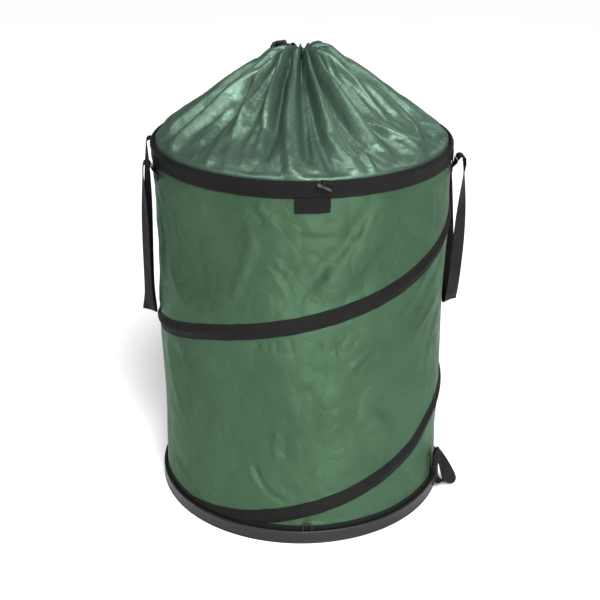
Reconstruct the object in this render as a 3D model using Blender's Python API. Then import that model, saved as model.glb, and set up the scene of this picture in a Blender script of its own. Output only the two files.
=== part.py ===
"""Pop-up leaf bag: a cloth cylinder held open by a spiral spring, standing on a moulded tray,
with a gathered collar at the top, carry handles, a tipping loop and toggles that hold it flat.

Lengths are in metres and +Z is up. The origin is the centre of the tray's underside, and the
front of the bag faces -Y. Angles are in degrees, counter-clockwise seen from above, from +X.
"""
import math

import bmesh
import bpy
from mathutils import Matrix, Vector

# Fits
GAP = 0.0003            # clearance between pieces that rest on each other
OVERRUN = 0.002         # how far a cutter runs past what it cuts
WELD = 0.000001         # points closer than this are one point

# Cloth wall
BAG_RADIUS = 0.2780     # outside of the wall
BAG_CLOTH = 0.0010
WALL_SAG = 0.0035       # how far the cloth draws in between two turns of the spring
STIFF_MARGIN = 0.0180   # the wall stays on its cylinder this near a tape

# Moulded tray
TRAY_RIM_WIDTH = 0.0059     # of the tray's double-skinned edge
TRAY_HEIGHT = 0.0265
TRAY_SKIN = 0.0020
TRAY_FLOOR = 0.0025
TRAY_EDGE = 0.0012      # bevel on the tray's outer edges
FOOT_HEIGHT = 0.0030
FOOT_WIDTH = 0.0060
FOOT_RING_SHARES = (0.60,)
PAD_RADIUS = 0.0300
RIB_COUNT = 8
RIB_WIDTH = 0.0025
RIB_LIFT = 0.0006       # the ribs stop this far above the ground
PANEL_CLOTH = 0.0010

# Rivets that hold the bottom panel to the tray
RIVET_COUNT = 4
RIVET_INSET = 0.0360    # from the base hem to the rivets' circle
RIVET_SHANK = 0.0020    # radius
RIVET_HEAD = 0.0048     # radius
RIVET_FLANGE = 0.0014

# Tapes, hoops and the spiral spring
TAPE = 0.0015
HEM_HEIGHT = 0.0360     # top of the base hem above the ground
BASE_WIRE = 0.0040
RIM_WIRE = 0.0050
RIM_HEIGHT = 0.7140     # top of the rim binding above the ground
BINDING_DROP = 0.0300   # from the top of the rim binding to its lower edge
BINDING_LINING = 0.0240
BEAD_REACH = 0.0045     # half-width of the bead round the rim hoop
BEAD_RISE = 0.0075      # half-height of the bead
COIL_WIRE = 0.0034
SLEEVE_WIDTH = 0.0300
SLEEVE_CLOTH = 0.0008
SLEEVE_PEAK = 0.0010    # from the wire to the peak of the sleeve over it
SLEEVE_FOOT = 0.0050    # half-width where the sleeve leaves the wall

# The spring's route: turns from the front of the bag, and heights between the ground and the
# rim, both as shares. It leaves the base hem left of the front and ends under the rim behind.
COIL_TURN_SHARES = (-0.25, -0.097, -0.022, 0.047, 0.125, 0.161, 0.306, 0.472, 0.639, 0.800,
                    0.892, 0.994, 1.078, 1.158, 1.278, 1.417, 1.569, 1.680)
COIL_HEIGHT_SHARES = (0.000, 0.048, 0.090, 0.140, 0.213, 0.261, 0.357, 0.415, 0.462, 0.525,
                      0.584, 0.640, 0.692, 0.752, 0.840, 0.910, 0.979, 1.020)

# Gathered collar: shares of the way from its foot to the mouth
COLLAR_CLOTH = 0.0010
COLLAR_TUCK = 0.0220    # depth of the collar's foot below the rim's top
COLLAR_RISE = 0.1575    # from the rim's top to the mouth
MOUTH_RADIUS = 0.0400
PLEAT_COUNT = 20
PLEAT_DEPTH = 0.0055
PLEAT_POINTS = 4
COLLAR_HEIGHT_SHARES = (-0.14, 0.0, 0.06, 0.20, 0.36, 0.52, 0.68, 0.83, 0.94, 1.0)
COLLAR_RADIUS_SHARES = (1.0, 1.0, 0.945, 0.817, 0.687, 0.551, 0.404, 0.247, 0.088, 0.0)
COLLAR_PLEAT_SHARES = (0.0, 0.0, 0.15, 0.5, 0.85, 1.05, 1.15, 1.15, 1.05, 1.0)

# Drawstring, its knot and the cord lock, behind the mouth
CORD = 0.0028
CORD_SPACING = 0.0032   # between the two cords where they run side by side
DRAWSTRING_ANGLE = 120.0
NOTCH_WIDTH = 0.0120
CORD_EXIT_RADIUS = 0.0520
CORD_BEND_RADIUS = 0.0880
CORD_END_RADIUS = 0.1015
CORD_END_DROP = 0.0130
KNOT_RADIUS = 0.0042
LOCK_PLACE = 0.0750     # distance of the lock from the bag's axis
LOCK_RADIUS = 0.00625
LOCK_LENGTH = 0.0205
LOCK_END_WALL = 0.0015
LOCK_BORE = 0.0042
SPRING_ROOM = 0.0075    # length of the lock's bore behind the plunger
PLUNGER_RADIUS = 0.0039
PLUNGER_TRAVEL = 0.0030
PLUNGER_HEAD = 0.0050
PLUNGER_HEAD_LENGTH = 0.0032
PLUNGER_TAIL = 0.0016   # solid length of the plunger behind its slot
SPRING_WIRE = 0.0005
SPRING_RADIUS = 0.0030
SPRING_TURNS = 4

# Woven label
LABEL_ANGLE = -91.3
LABEL_WIDTH = 0.0610
LABEL_HEIGHT = 0.0265
LABEL_DROP = 0.0550     # from the rim's top to the label's lower edge
LABEL_CLOTH = 0.0010

# Webbing handles
WEB_WIDTH = 0.0300
WEB = 0.0015
HANDLE_SPREAD = 0.0775  # half the distance between a handle's two ends
HANDLE_FOLD = 0.0070    # radius of the fold at the handle's ends
HANDLE_SLACK = 0.0030   # room for the fold to turn in front of the bead
HANDLE_HANG = 0.3180    # from the fold to the bottom of the handle
HANDLE_BULGE = 0.0055   # how far the bottom stands out past the legs
HANDLE_TWIST = -70.0
HANDLE_FOLD_DROP = 0.0290   # from the rim's top to the fold's centre
HANDLE_END_DROP = 0.0550    # from the rim's top to the lower end of a stitched handle end
HANDLE_END_LENGTH = 0.0410
HANDLE_TONGUE = 0.0200      # from the fold's centre down to where it leaves the stitched end
HANDLE_SPREAD_SHARES = (1.0, 0.97, 0.88, 0.72, 0.52, 0.32, 0.13, 0.0)
HANDLE_HANG_SHARES = (0.02, 0.15, 0.35, 0.55, 0.74, 0.88, 0.97, 1.0)
HANDLE_BULGE_SHARES = (0.0, 0.1, 0.3, 0.55, 0.78, 0.92, 1.0, 1.0)
HANDLE_TWIST_SHARES = (0.0, 0.10, 0.32, 0.40, 0.42, 0.50, 0.78, 1.0)

# Tipping loop at the base
TIPPING_ANGLE = -22.5
TIPPING_FOLD = 0.0030
TIPPING_TOP = 0.0800    # height of the loop's hinge line
TIPPING_CLEAR = 0.0036  # from the tray's edge to the loop's inner ply
TIPPING_SPREAD = 0.0270     # from the inner ply to the loop's outermost point
TIPPING_LOW = 0.0125
TIPPING_REACH_SHARES = (0.26, 0.63, 0.93, 1.0, 0.88, 0.57, 0.24, 0.04, 0.0, 0.0)
TIPPING_HEIGHT_SHARES = (0.84, 0.52, 0.23, 0.11, 0.04, 0.0, 0.0, 0.08, 0.30, 0.66)
TIPPING_TWIST = 60.0    # of the loop's outer leg, in degrees
TIPPING_TWIST_SHARES = (0.0, 0.15, 0.5, 0.85, 1.0, 0.9, 0.5, 0.15, 0.0, 0.0, 0.0, 0.0)

# Toggles on the rim and cord loops at the base
CLOSURE_COUNT = 3
TOGGLE_ANGLE = -87.6
LOOP_ANGLE = -92.4
TOGGLE_LENGTH = 0.0280
TOGGLE_RADIUS = 0.0035
TOGGLE_WAIST = 0.0026
TOGGLE_TILT = 24.0
TOGGLE_DROP = 0.0085    # from the rim's top to the toggle's axis
TOGGLE_CORD = 0.0024
TAB_WIDTH = 0.0080
TAB = 0.0012
TAB_FROM = 118.0        # stretch of the bead that the tab covers, in degrees round the bead
TAB_TO = 50.0
LOOP_CORD = 0.0030
LOOP_HALF = 0.0085
LOOP_LEG = 0.0077

# Facets
FACETS = 48
CORD_SIDES = 5
BEAD_STEPS = 5

# Colours
GREEN = (0.075, 0.140, 0.085)
PALE_GREEN = (0.095, 0.160, 0.120)
BLACK = (0.022, 0.022, 0.023)
MOULDED = (0.030, 0.030, 0.032)
STEEL = (0.45, 0.45, 0.46)

# Places worked out from the sizes above
WALL_INNER = BAG_RADIUS - BAG_CLOTH
TAPE_INNER = BAG_RADIUS + GAP
TAPE_OUTER = TAPE_INNER + TAPE
TRAY_INNER = TAPE_OUTER + GAP
TRAY_RADIUS = TRAY_INNER + TRAY_RIM_WIDTH
FLOOR_TOP = FOOT_HEIGHT + TRAY_FLOOR
PANEL_LOW = FLOOR_TOP + GAP
PANEL_TOP = PANEL_LOW + PANEL_CLOTH
HEM_LOW = FLOOR_TOP + GAP
BASE_HOOP_RADIUS = WALL_INNER - GAP - BASE_WIRE / 2
HEM_POCKET = BASE_HOOP_RADIUS - BASE_WIRE / 2 - GAP
HEM_INNER = HEM_POCKET - TAPE
RIVET_CIRCLE = HEM_INNER - RIVET_INSET
BINDING_LOW = RIM_HEIGHT - BINDING_DROP
BEAD_HEIGHT = RIM_HEIGHT - BEAD_RISE
LINING_OUTER = WALL_INNER - GAP
LINING_INNER = LINING_OUTER - TAPE
BEAD_RADIUS = TAPE_OUTER + TAPE - BEAD_REACH
BEAD_OUTER = BEAD_RADIUS + BEAD_REACH
WALL_TOP = BEAD_HEIGHT - BEAD_RISE - GAP
COIL_RADIUS = BAG_RADIUS + GAP + COIL_WIRE / 2
CROWN_INNER = COIL_RADIUS + COIL_WIRE / 2 + SLEEVE_PEAK
FLATTENING = math.cos(math.pi / FACETS)     # of a circle drawn with so many facets
COLLAR_OUTER = (BEAD_RADIUS - BEAD_REACH) * FLATTENING - GAP
MOUTH_HEIGHT = RIM_HEIGHT + COLLAR_RISE
PATCH_MIDDLE = TAPE_OUTER + GAP + WEB / 2
LABEL_INNER = TAPE_OUTER + GAP
FOLD_HEIGHT = RIM_HEIGHT - HANDLE_FOLD_DROP
FOLD_INNER_EDGE = HANDLE_SPREAD - WEB_WIDTH / 2
FOLD_PLACE = (math.sqrt(BEAD_OUTER ** 2 - FOLD_INNER_EDGE ** 2) + GAP + HANDLE_SLACK + WEB / 2
              + HANDLE_FOLD)
TIPPING_TAB_RADIUS = BEAD_OUTER + GAP + WEB / 2
TIPPING_HINGE = TIPPING_TAB_RADIUS + WEB + GAP + TIPPING_FOLD
TIPPING_INNER = TRAY_RADIUS + TIPPING_CLEAR
TOGGLE_PLACE = BEAD_OUTER + GAP + TOGGLE_RADIUS
TOGGLE_HEIGHT = RIM_HEIGHT - TOGGLE_DROP
LOOP_PLACE = LABEL_INNER + LABEL_CLOTH + GAP + LOOP_CORD / 2


def clear_scene():
    """Removes whatever the scene holds."""
    for thing in list(bpy.data.objects):
        bpy.data.objects.remove(thing, do_unlink=True)


def finish_material(name, colour, roughness, metallic=0.0):
    """A plain finish."""
    material = bpy.data.materials.new(name)
    material.use_nodes = True
    shader = material.node_tree.nodes["Principled BSDF"]
    shader.inputs["Base Color"].default_value = (*colour, 1.0)
    shader.inputs["Roughness"].default_value = roughness
    shader.inputs["Metallic"].default_value = metallic
    return material


def make_object(name, bm, finish, smooth_angle=35.0, pivot=None):
    """Turns a bmesh into an object, with its origin at the pivot if it has one."""
    bmesh.ops.recalc_face_normals(bm, faces=bm.faces)
    place = Vector(pivot) if pivot else Vector()
    bmesh.ops.translate(bm, verts=bm.verts, vec=-place)
    mesh = bpy.data.meshes.new(name)
    bm.to_mesh(mesh)
    bm.free()
    mesh.materials.append(finish_material(name, *finish))
    mesh.shade_smooth()
    mesh.set_sharp_from_angle(angle=math.radians(smooth_angle))
    thing = bpy.data.objects.new(name, mesh)
    thing.location = place
    bpy.context.collection.objects.link(thing)
    return thing


def as_cutter(thing):
    """Marks an object as a tool that shapes another one."""
    thing.hide_render = True
    thing.display_type = "WIRE"
    return thing


def boolean(target, tool, operation):
    """Shapes one object with another."""
    step = target.modifiers.new(tool.name, "BOOLEAN")
    step.operation = operation
    step.solver = "EXACT"
    step.object = tool


def polar(angle, radius, height):
    """The point at an angle in degrees, a distance from the axis and a height."""
    turn = math.radians(angle)
    return Vector((radius * math.cos(turn), radius * math.sin(turn), height))


def outward(angle):
    """The unit vector that points away from the axis at an angle."""
    return polar(angle, 1.0, 0.0)


def sideways(angle):
    """The unit vector along the circle at an angle, counter-clockwise."""
    return outward(angle + 90.0)


def on_curve(values, place):
    """Reads a smooth curve through evenly numbered values at a place between 0 and the last."""
    last = len(values) - 1
    low = min(int(place), last - 1)
    part = place - low
    before, start = values[max(low - 1, 0)], values[low]
    end, after = values[low + 1], values[min(low + 2, last)]
    slope_start, slope_end = (end - before) / 2, (after - start) / 2
    square, cube = part * part, part * part * part
    return (start * (2 * cube - 3 * square + 1) + slope_start * (cube - 2 * square + part)
            + end * (3 * square - 2 * cube) + slope_end * (cube - square))


def smooth_points(points, steps):
    """Points along a smooth curve, with so many steps from each given point to the next."""
    count = (len(points) - 1) * steps
    return [on_curve(points, number / steps) for number in range(count + 1)]


def between(xs, ys, x):
    """A smooth value at x, through the points (xs, ys), whose xs rise."""
    low = 0
    while low < len(xs) - 2 and x > xs[low + 1]:
        low += 1
    before, after = max(low - 1, 0), min(low + 2, len(xs) - 1)
    width = xs[low + 1] - xs[low]
    slope_start = (ys[low + 1] - ys[before]) / (xs[low + 1] - xs[before])
    slope_end = (ys[after] - ys[low]) / (xs[after] - xs[low])
    part = (x - xs[low]) / width
    square, cube = part * part, part * part * part
    return (ys[low] * (2 * cube - 3 * square + 1) + slope_start * width * (cube - 2 * square + part)
            + ys[low + 1] * (3 * square - 2 * cube) + slope_end * width * (cube - square))


def loft(sections, ring=False):
    """Skins closed sections of equal length; a ring joins the last section to the first."""
    bm = bmesh.new()
    place = bm.verts.layers.int.new("place")
    first = []
    for number, point in enumerate(sections[0]):
        vertex = bm.verts.new(point)
        vertex[place] = number
        first.append(vertex)
    start = [bm.edges.new((first[number - 1], first[number])) for number in range(len(first))]
    edges = start
    following = sections[1:] + sections[:1] if ring else sections[1:]
    for section in following:
        made = bmesh.ops.extrude_edge_only(bm, edges=edges)["geom"]
        fresh = [item for item in made if isinstance(item, bmesh.types.BMVert)]
        for vertex in fresh:
            vertex.co = section[vertex[place]]
        known = set(fresh)
        edges = [item for item in made if isinstance(item, bmesh.types.BMEdge)
                 and item.verts[0] in known and item.verts[1] in known]
    if ring:
        bmesh.ops.remove_doubles(bm, verts=bm.verts, dist=WELD)
    else:
        bmesh.ops.edgeloop_fill(bm, edges=start)
        bmesh.ops.edgeloop_fill(bm, edges=edges)
    return bm


def turned(profile, closed, facets=FACETS):
    """Turns a profile of (radius, height) points about the Z axis."""
    bm = bmesh.new()
    points = [bm.verts.new((radius, 0.0, height)) for radius, height in profile]
    lines = [bm.edges.new(pair) for pair in zip(points[:-1], points[1:])]
    if closed:
        lines.append(bm.edges.new((points[-1], points[0])))
    bmesh.ops.spin(bm, geom=points + lines, cent=(0, 0, 0), axis=(0, 0, 1), angle=2 * math.pi,
                   steps=facets, use_merge=True)
    bmesh.ops.remove_doubles(bm, verts=bm.verts, dist=WELD)
    return bm


def moved(bm, matrix):
    """Places a bmesh."""
    bmesh.ops.transform(bm, matrix=matrix, verts=bm.verts)
    return bm


def tangents(points, ring=False):
    """Unit directions along a row of points."""
    last = len(points) - 1
    rows = []
    for number in range(len(points)):
        before = points[number - 1] if ring or number else points[0]
        after = points[(number + 1) % len(points)] if ring or number < last else points[last]
        rows.append((after - before).normalized())
    return rows


def tube(points, diameter, sides=CORD_SIDES, ring=False, side=Vector((0, 0, 1)), start_share=1.0):
    """A round cord along a row of points, whose first section may be narrower."""
    sections = []
    for number, (point, along) in enumerate(zip(points, tangents(points, ring))):
        reach = diameter / 2 * (1.0 if number else start_share)
        across = side.cross(along)
        if across.length < 0.1:
            across = Vector((along.y, -along.x, 0)) if abs(along.z) < 0.9 else Vector((1, 0, 0))
        across = (across - along * across.dot(along)).normalized()
        other = along.cross(across)
        angles = [2 * math.pi * number / sides for number in range(sides)]
        sections.append([point + (across * math.cos(turn) + other * math.sin(turn)) * reach
                         for turn in angles])
    return loft(sections, ring)


def strap(points, faces, width, thickness, ring=False):
    """A flat strap along a row of points; faces are the directions its face looks in."""
    sections = []
    for point, face, along in zip(points, faces, tangents(points, ring)):
        across = face.cross(along).normalized()
        out = along.cross(across)
        half, deep = across * width / 2, out * thickness / 2
        sections.append([point - half - deep, point + half - deep, point + half + deep,
                         point - half + deep])
    return loft(sections, ring)


def cut_level(bm, height, keep_above):
    """Cuts a solid off level, and closes the cut."""
    made = bmesh.ops.bisect_plane(bm, geom=bm.verts[:] + bm.edges[:] + bm.faces[:], dist=WELD,
                                  plane_co=(0, 0, height), plane_no=(0, 0, 1),
                                  clear_inner=keep_above, clear_outer=not keep_above)
    edges = [item for item in made["geom_cut"] if isinstance(item, bmesh.types.BMEdge)]
    bmesh.ops.edgeloop_fill(bm, edges=edges)
    return bm


def base_tray():
    """The moulded tray: a ribbed floor on foot rings, inside a double-skinned edge."""
    rings = []
    for share in FOOT_RING_SHARES:
        middle = share * TRAY_INNER
        rings += [(middle + FOOT_WIDTH / 2, FOOT_HEIGHT), (middle + FOOT_WIDTH / 2, 0.0),
                  (middle - FOOT_WIDTH / 2, 0.0), (middle - FOOT_WIDTH / 2, FOOT_HEIGHT)]
    profile = [(0.0, FLOOR_TOP), (TRAY_INNER, FLOOR_TOP), (TRAY_INNER, TRAY_HEIGHT),
               (TRAY_RADIUS - TRAY_EDGE, TRAY_HEIGHT), (TRAY_RADIUS, TRAY_HEIGHT - TRAY_EDGE),
               (TRAY_RADIUS, 0.0), (TRAY_RADIUS - TRAY_SKIN, 0.0), (TRAY_RADIUS - TRAY_SKIN, TRAY_HEIGHT - TRAY_SKIN),
               (TRAY_INNER + TRAY_SKIN, TRAY_HEIGHT - TRAY_SKIN), (TRAY_INNER + TRAY_SKIN, FOOT_HEIGHT),
               *rings, (PAD_RADIUS, FOOT_HEIGHT), (PAD_RADIUS, 0.0), (0.0, 0.0)]
    tray = make_object("base_tray", turned(profile, False), (MOULDED, 0.42))
    bm = bmesh.new()
    for number in range(RIB_COUNT):
        made = bmesh.ops.create_cube(bm, size=1.0)["verts"]
        start, end = PAD_RADIUS - RIB_WIDTH, TRAY_INNER
        low, high = RIB_LIFT, FOOT_HEIGHT + TRAY_FLOOR / 2
        shape = (Matrix.Rotation(2 * math.pi * number / RIB_COUNT, 4, "Z")
                 @ Matrix.Translation(((start + end) / 2, 0, (low + high) / 2))
                 @ Matrix.Diagonal((end - start, RIB_WIDTH, high - low, 1.0)))
        bmesh.ops.transform(bm, matrix=shape, verts=made)
    ribs = as_cutter(make_object("tray_ribs_tool", bm, (MOULDED, 0.42)))
    boolean(tray, ribs, "UNION")
    return tray


def rivet_place(number):
    """The angle of a rivet, midway between two ribs."""
    return 360.0 * (number + 0.5) / RIB_COUNT + 360.0 * number / RIVET_COUNT / 2


def bottom_panel_and_rivets(tray):
    """The cloth floor of the bag, and the rivets that hold it to the tray."""
    edge = HEM_INNER - GAP
    profile = [(0.0, PANEL_TOP), (edge, PANEL_TOP), (edge, PANEL_LOW), (0.0, PANEL_LOW)]
    panel = make_object("bottom_panel", turned(profile, False), (GREEN, 0.85))
    holes = bmesh.new()
    for number in range(RIVET_COUNT):
        angle = rivet_place(number)
        spot = Matrix.Translation(polar(angle, RIVET_CIRCLE, 0.0))
        low = FOOT_HEIGHT - GAP - RIVET_FLANGE
        head = PANEL_TOP + GAP
        outline = [(0.0, low), (RIVET_HEAD, low), (RIVET_HEAD, low + RIVET_FLANGE),
                   (RIVET_SHANK, low + RIVET_FLANGE), (RIVET_SHANK, head), (RIVET_HEAD, head),
                   (RIVET_HEAD * 0.8, head + RIVET_FLANGE * 0.7), (0.0, head + RIVET_FLANGE)]
        rivet = moved(turned(outline, False, 10), spot)
        make_object(f"tray_rivet_{number + 1}", rivet, (STEEL, 0.35, 0.9))
        made = bmesh.ops.create_cone(holes, cap_ends=True, segments=16, radius1=RIVET_SHANK + GAP,
                                     radius2=RIVET_SHANK + GAP, depth=2 * (PANEL_TOP + OVERRUN))
        bmesh.ops.transform(holes, matrix=spot, verts=made["verts"])
    cutter = as_cutter(make_object("rivet_holes_tool", holes, (STEEL, 0.5)))
    boolean(tray, cutter, "DIFFERENCE")
    boolean(panel, cutter, "DIFFERENCE")


def base_hem():
    """The folded tape round the wall's lower edge, and the wire hoop inside it."""
    profile = [(TAPE_OUTER, HEM_HEIGHT), (TAPE_OUTER, HEM_LOW), (HEM_INNER, HEM_LOW),
               (HEM_INNER, HEM_HEIGHT), (HEM_POCKET, HEM_HEIGHT), (HEM_POCKET, HEM_LOW + TAPE),
               (TAPE_INNER, HEM_LOW + TAPE), (TAPE_INNER, HEM_HEIGHT)]
    make_object("base_hem_tape", turned(profile, True), (BLACK, 0.9))
    hoop("base_hoop", BASE_HOOP_RADIUS, HEM_HEIGHT - BASE_WIRE, BASE_WIRE)


def hoop(name, radius, height, wire, sides=5):
    """A wire hoop."""
    angles = [2 * math.pi * (number + 0.5) / sides for number in range(sides)]
    profile = [(radius + math.cos(turn) * wire / 2, height + math.sin(turn) * wire / 2)
               for turn in angles]
    make_object(name, turned(profile, True), (STEEL, 0.4, 0.9), 60.0)


def coil_height(turns):
    """Height of the spring's middle, so many turns round from the front of the bag."""
    return RIM_HEIGHT * between(COIL_TURN_SHARES, COIL_HEIGHT_SHARES, turns)


def coil_angle(turns):
    """The angle at which the spring is after so many turns from the front."""
    return 360.0 * turns - 90.0


def wall_radius(angle, height):
    """Outer radius of the wall, which draws in between the spring's turns."""
    turns = (angle + 90.0) / 360.0
    lines = [HEM_HEIGHT - SLEEVE_WIDTH / 2, BINDING_LOW + SLEEVE_WIDTH / 2]
    for lap in (-1, 0, 1, 2):
        place = turns + lap
        if COIL_TURN_SHARES[0] <= place <= COIL_TURN_SHARES[-1]:
            lines.append(coil_height(place))
    below = max([line for line in lines if line <= height], default=lines[0])
    above = min([line for line in lines if line > height], default=lines[1])
    low, high = below + STIFF_MARGIN, above - STIFF_MARGIN
    if height <= low or height >= high:
        return BAG_RADIUS
    span = (high - low) / (BINDING_LOW / 3)
    return BAG_RADIUS - WALL_SAG * min(span, 1.0) * math.sin(math.pi * (height - low) / (high - low)) ** 2


def bag_wall():
    """The cloth cylinder between the base hem and the rim."""
    low = HEM_LOW + TAPE + GAP
    rows = 9
    heights = [low + (WALL_TOP - low) * number / rows for number in range(rows + 1)]
    angles = [360.0 * number / FACETS for number in range(FACETS)]
    outer = [[polar(angle, wall_radius(angle, height), height) for angle in angles]
             for height in heights]
    inner = [[polar(angle, wall_radius(angle, height) - BAG_CLOTH, height) for angle in angles]
             for height in reversed(heights)]
    make_object("bag_wall", loft(outer + inner, ring=True), (GREEN, 0.75), 60.0)


def spiral_spring():
    """The spring wire round the wall, and the tape sleeve that holds it there."""
    steps = range(round(COIL_TURN_SHARES[0] * FACETS), round(COIL_TURN_SHARES[-1] * FACETS) + 1)
    places = [step / FACETS for step in steps]
    edge_inner, edge_outer = BAG_RADIUS + GAP, BAG_RADIUS + GAP + SLEEVE_CLOTH
    crown_outer = CROWN_INNER + SLEEVE_CLOTH
    half = SLEEVE_WIDTH / 2
    outline = [(-half, edge_inner), (-SLEEVE_FOOT, edge_inner), (0.0, CROWN_INNER),
               (SLEEVE_FOOT, edge_inner), (half, edge_inner), (half, edge_outer),
               (SLEEVE_FOOT + SLEEVE_CLOTH, edge_outer), (0.0, crown_outer),
               (-SLEEVE_FOOT - SLEEVE_CLOTH, edge_outer), (-half, edge_outer)]
    sections, middle = [], []
    for place in places:
        angle, height = coil_angle(place), coil_height(place)
        rise = (coil_height(place + 0.5 / FACETS) - coil_height(place - 0.5 / FACETS)) * FACETS
        stretch = math.hypot(rise, 2 * math.pi * BAG_RADIUS) / (2 * math.pi * BAG_RADIUS)
        sections.append([polar(angle, radius, height + across * stretch)
                         for across, radius in outline])
        middle.append(polar(angle, COIL_RADIUS, height))
    low, high = HEM_HEIGHT + GAP, BINDING_LOW - GAP
    sleeve = cut_level(cut_level(loft(sections), low, True), high, False)
    make_object("spiral_sleeve", sleeve, (BLACK, 0.9), 40.0)
    wire = cut_level(cut_level(tube(middle, COIL_WIRE), low, True), high, False)
    make_object("spring_coil", wire, (STEEL, 0.4, 0.9), 70.0)
    lap = [(coil_height(place + 1) - coil_height(place)) for place in places if place + 1 <= places[-1]]
    print("least gap between two turns of the spring, in metres:", round(min(lap) - COIL_WIRE, 4))


def round_bead(reach, rise, start, end):
    """Points round the rim bead from one angle in degrees to another."""
    rows = []
    for number in range(BEAD_STEPS + 1):
        turn = math.radians(start + (end - start) * number / BEAD_STEPS)
        rows.append((BEAD_RADIUS + reach * math.cos(turn), BEAD_HEIGHT + rise * math.sin(turn)))
    return rows


def rim_binding():
    """The tape folded over the rim, with a bead round the wire hoop inside it."""
    inner_reach, inner_rise = BEAD_REACH - TAPE, BEAD_RISE - TAPE
    slot_outer = math.degrees(math.acos((TAPE_INNER - BEAD_RADIUS) / inner_reach))
    slot_inner = math.degrees(math.acos((LINING_OUTER - BEAD_RADIUS) / inner_reach))
    skin_outer = math.degrees(math.acos((TAPE_OUTER - BEAD_RADIUS) / BEAD_REACH))
    skin_inner = math.degrees(math.acos((LINING_INNER - BEAD_RADIUS) / BEAD_REACH))
    profile = [(TAPE_OUTER, BINDING_LOW), *round_bead(BEAD_REACH, BEAD_RISE, -skin_outer, 360 - skin_inner),
               (LINING_INNER, RIM_HEIGHT - BINDING_LINING), (LINING_OUTER, RIM_HEIGHT - BINDING_LINING),
               *round_bead(inner_reach, inner_rise, 360 - slot_inner, -slot_outer),
               (TAPE_INNER, BINDING_LOW)]
    make_object("rim_binding", turned(profile, True), (BLACK, 0.9), 50.0)
    hoop("rim_hoop", BEAD_RADIUS, BEAD_HEIGHT, RIM_WIRE)


def collar_point(angle, place, depth=0.0):
    """A point of the collar at a place from 0, its foot, to the last row at the mouth."""
    foot = COLLAR_OUTER
    radius = MOUTH_RADIUS + (foot - MOUTH_RADIUS) * on_curve(COLLAR_RADIUS_SHARES, place)
    height = RIM_HEIGHT + COLLAR_RISE * on_curve(COLLAR_HEIGHT_SHARES, place)
    step = 0.05
    ahead, behind = min(place + step, len(COLLAR_HEIGHT_SHARES) - 1), max(place - step, 0)
    run = (foot - MOUTH_RADIUS) * (on_curve(COLLAR_RADIUS_SHARES, ahead)
                                   - on_curve(COLLAR_RADIUS_SHARES, behind))
    climb = COLLAR_RISE * (on_curve(COLLAR_HEIGHT_SHARES, ahead)
                           - on_curve(COLLAR_HEIGHT_SHARES, behind))
    size = math.hypot(run, climb)
    wave = -math.cos(math.radians(PLEAT_COUNT * (angle - DRAWSTRING_ANGLE)))
    push = PLEAT_DEPTH * on_curve(COLLAR_PLEAT_SHARES, place) * wave - depth
    return polar(angle, radius + push * climb / size, height - push * run / size)


def collar():
    """The gathered cloth collar, whose pleats deepen towards the mouth."""
    count = PLEAT_COUNT * PLEAT_POINTS
    angles = [DRAWSTRING_ANGLE + 360.0 * number / count for number in range(count)]
    rows = range(len(COLLAR_HEIGHT_SHARES))
    outer = [[collar_point(angle, row) for angle in angles] for row in rows]
    inner = [[collar_point(angle, row, COLLAR_CLOTH) for angle in angles] for row in reversed(rows)]
    bm = loft(outer + inner, ring=True)
    bmesh.ops.triangulate(bm, faces=bm.faces, quad_method="SHORT_EDGE")
    cloth = make_object("collar", bm, (PALE_GREEN, 0.5), 60.0)
    bm = bmesh.new()
    bmesh.ops.create_cube(bm, size=1.0)
    low = ring_height() - CORD / 2 - 2 * GAP
    high = MOUTH_HEIGHT + 2 * PLEAT_DEPTH
    near, far = MOUTH_RADIUS - NOTCH_WIDTH, LOCK_PLACE - LOCK_RADIUS - OVERRUN
    shape = (Matrix.Rotation(math.radians(DRAWSTRING_ANGLE), 4, "Z")
             @ Matrix.Translation(((near + far) / 2, 0, (low + high) / 2))
             @ Matrix.Diagonal((far - near, NOTCH_WIDTH, high - low, 1.0)))
    notch = as_cutter(make_object("cord_notch_tool", moved(bm, shape), (BLACK, 0.9)))
    boolean(cloth, notch, "DIFFERENCE")


def collar_level(radius, angle, depth=0.0):
    """Height and slope of the collar at a distance from the axis."""
    last = len(COLLAR_HEIGHT_SHARES) - 1
    steps = 200
    points = [collar_point(angle, last * number / steps, depth) for number in range(steps + 1)]
    for low, high in zip(points[:-1], points[1:]):
        inner, outer = math.hypot(high.x, high.y), math.hypot(low.x, low.y)
        if inner <= radius <= outer and outer > inner:
            part = (outer - radius) / (outer - inner)
            return low.z + (high.z - low.z) * part, math.atan2(high.z - low.z, outer - inner)
    return points[-1].z, 0.0


def cord_height():
    """Height of the cords where they pass the lock, which rests on the collar's ridges."""
    height, slope = collar_level(LOCK_PLACE, DRAWSTRING_ANGLE + 180.0 / PLEAT_COUNT)
    return height + (LOCK_RADIUS + GAP) / math.cos(slope)


def ring_height():
    """Height of the cord's ring, just under the folds of the mouth."""
    height, slope = collar_level(MOUTH_RADIUS, DRAWSTRING_ANGLE, COLLAR_CLOTH)
    return height - (CORD / 2 + GAP) / math.cos(slope)


def behind_mouth(reach, across, height):
    """A point by its distance from the axis along the cords, across them, and its height."""
    return outward(DRAWSTRING_ANGLE) * reach + sideways(DRAWSTRING_ANGLE) * across + Vector((0, 0, height))


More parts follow.
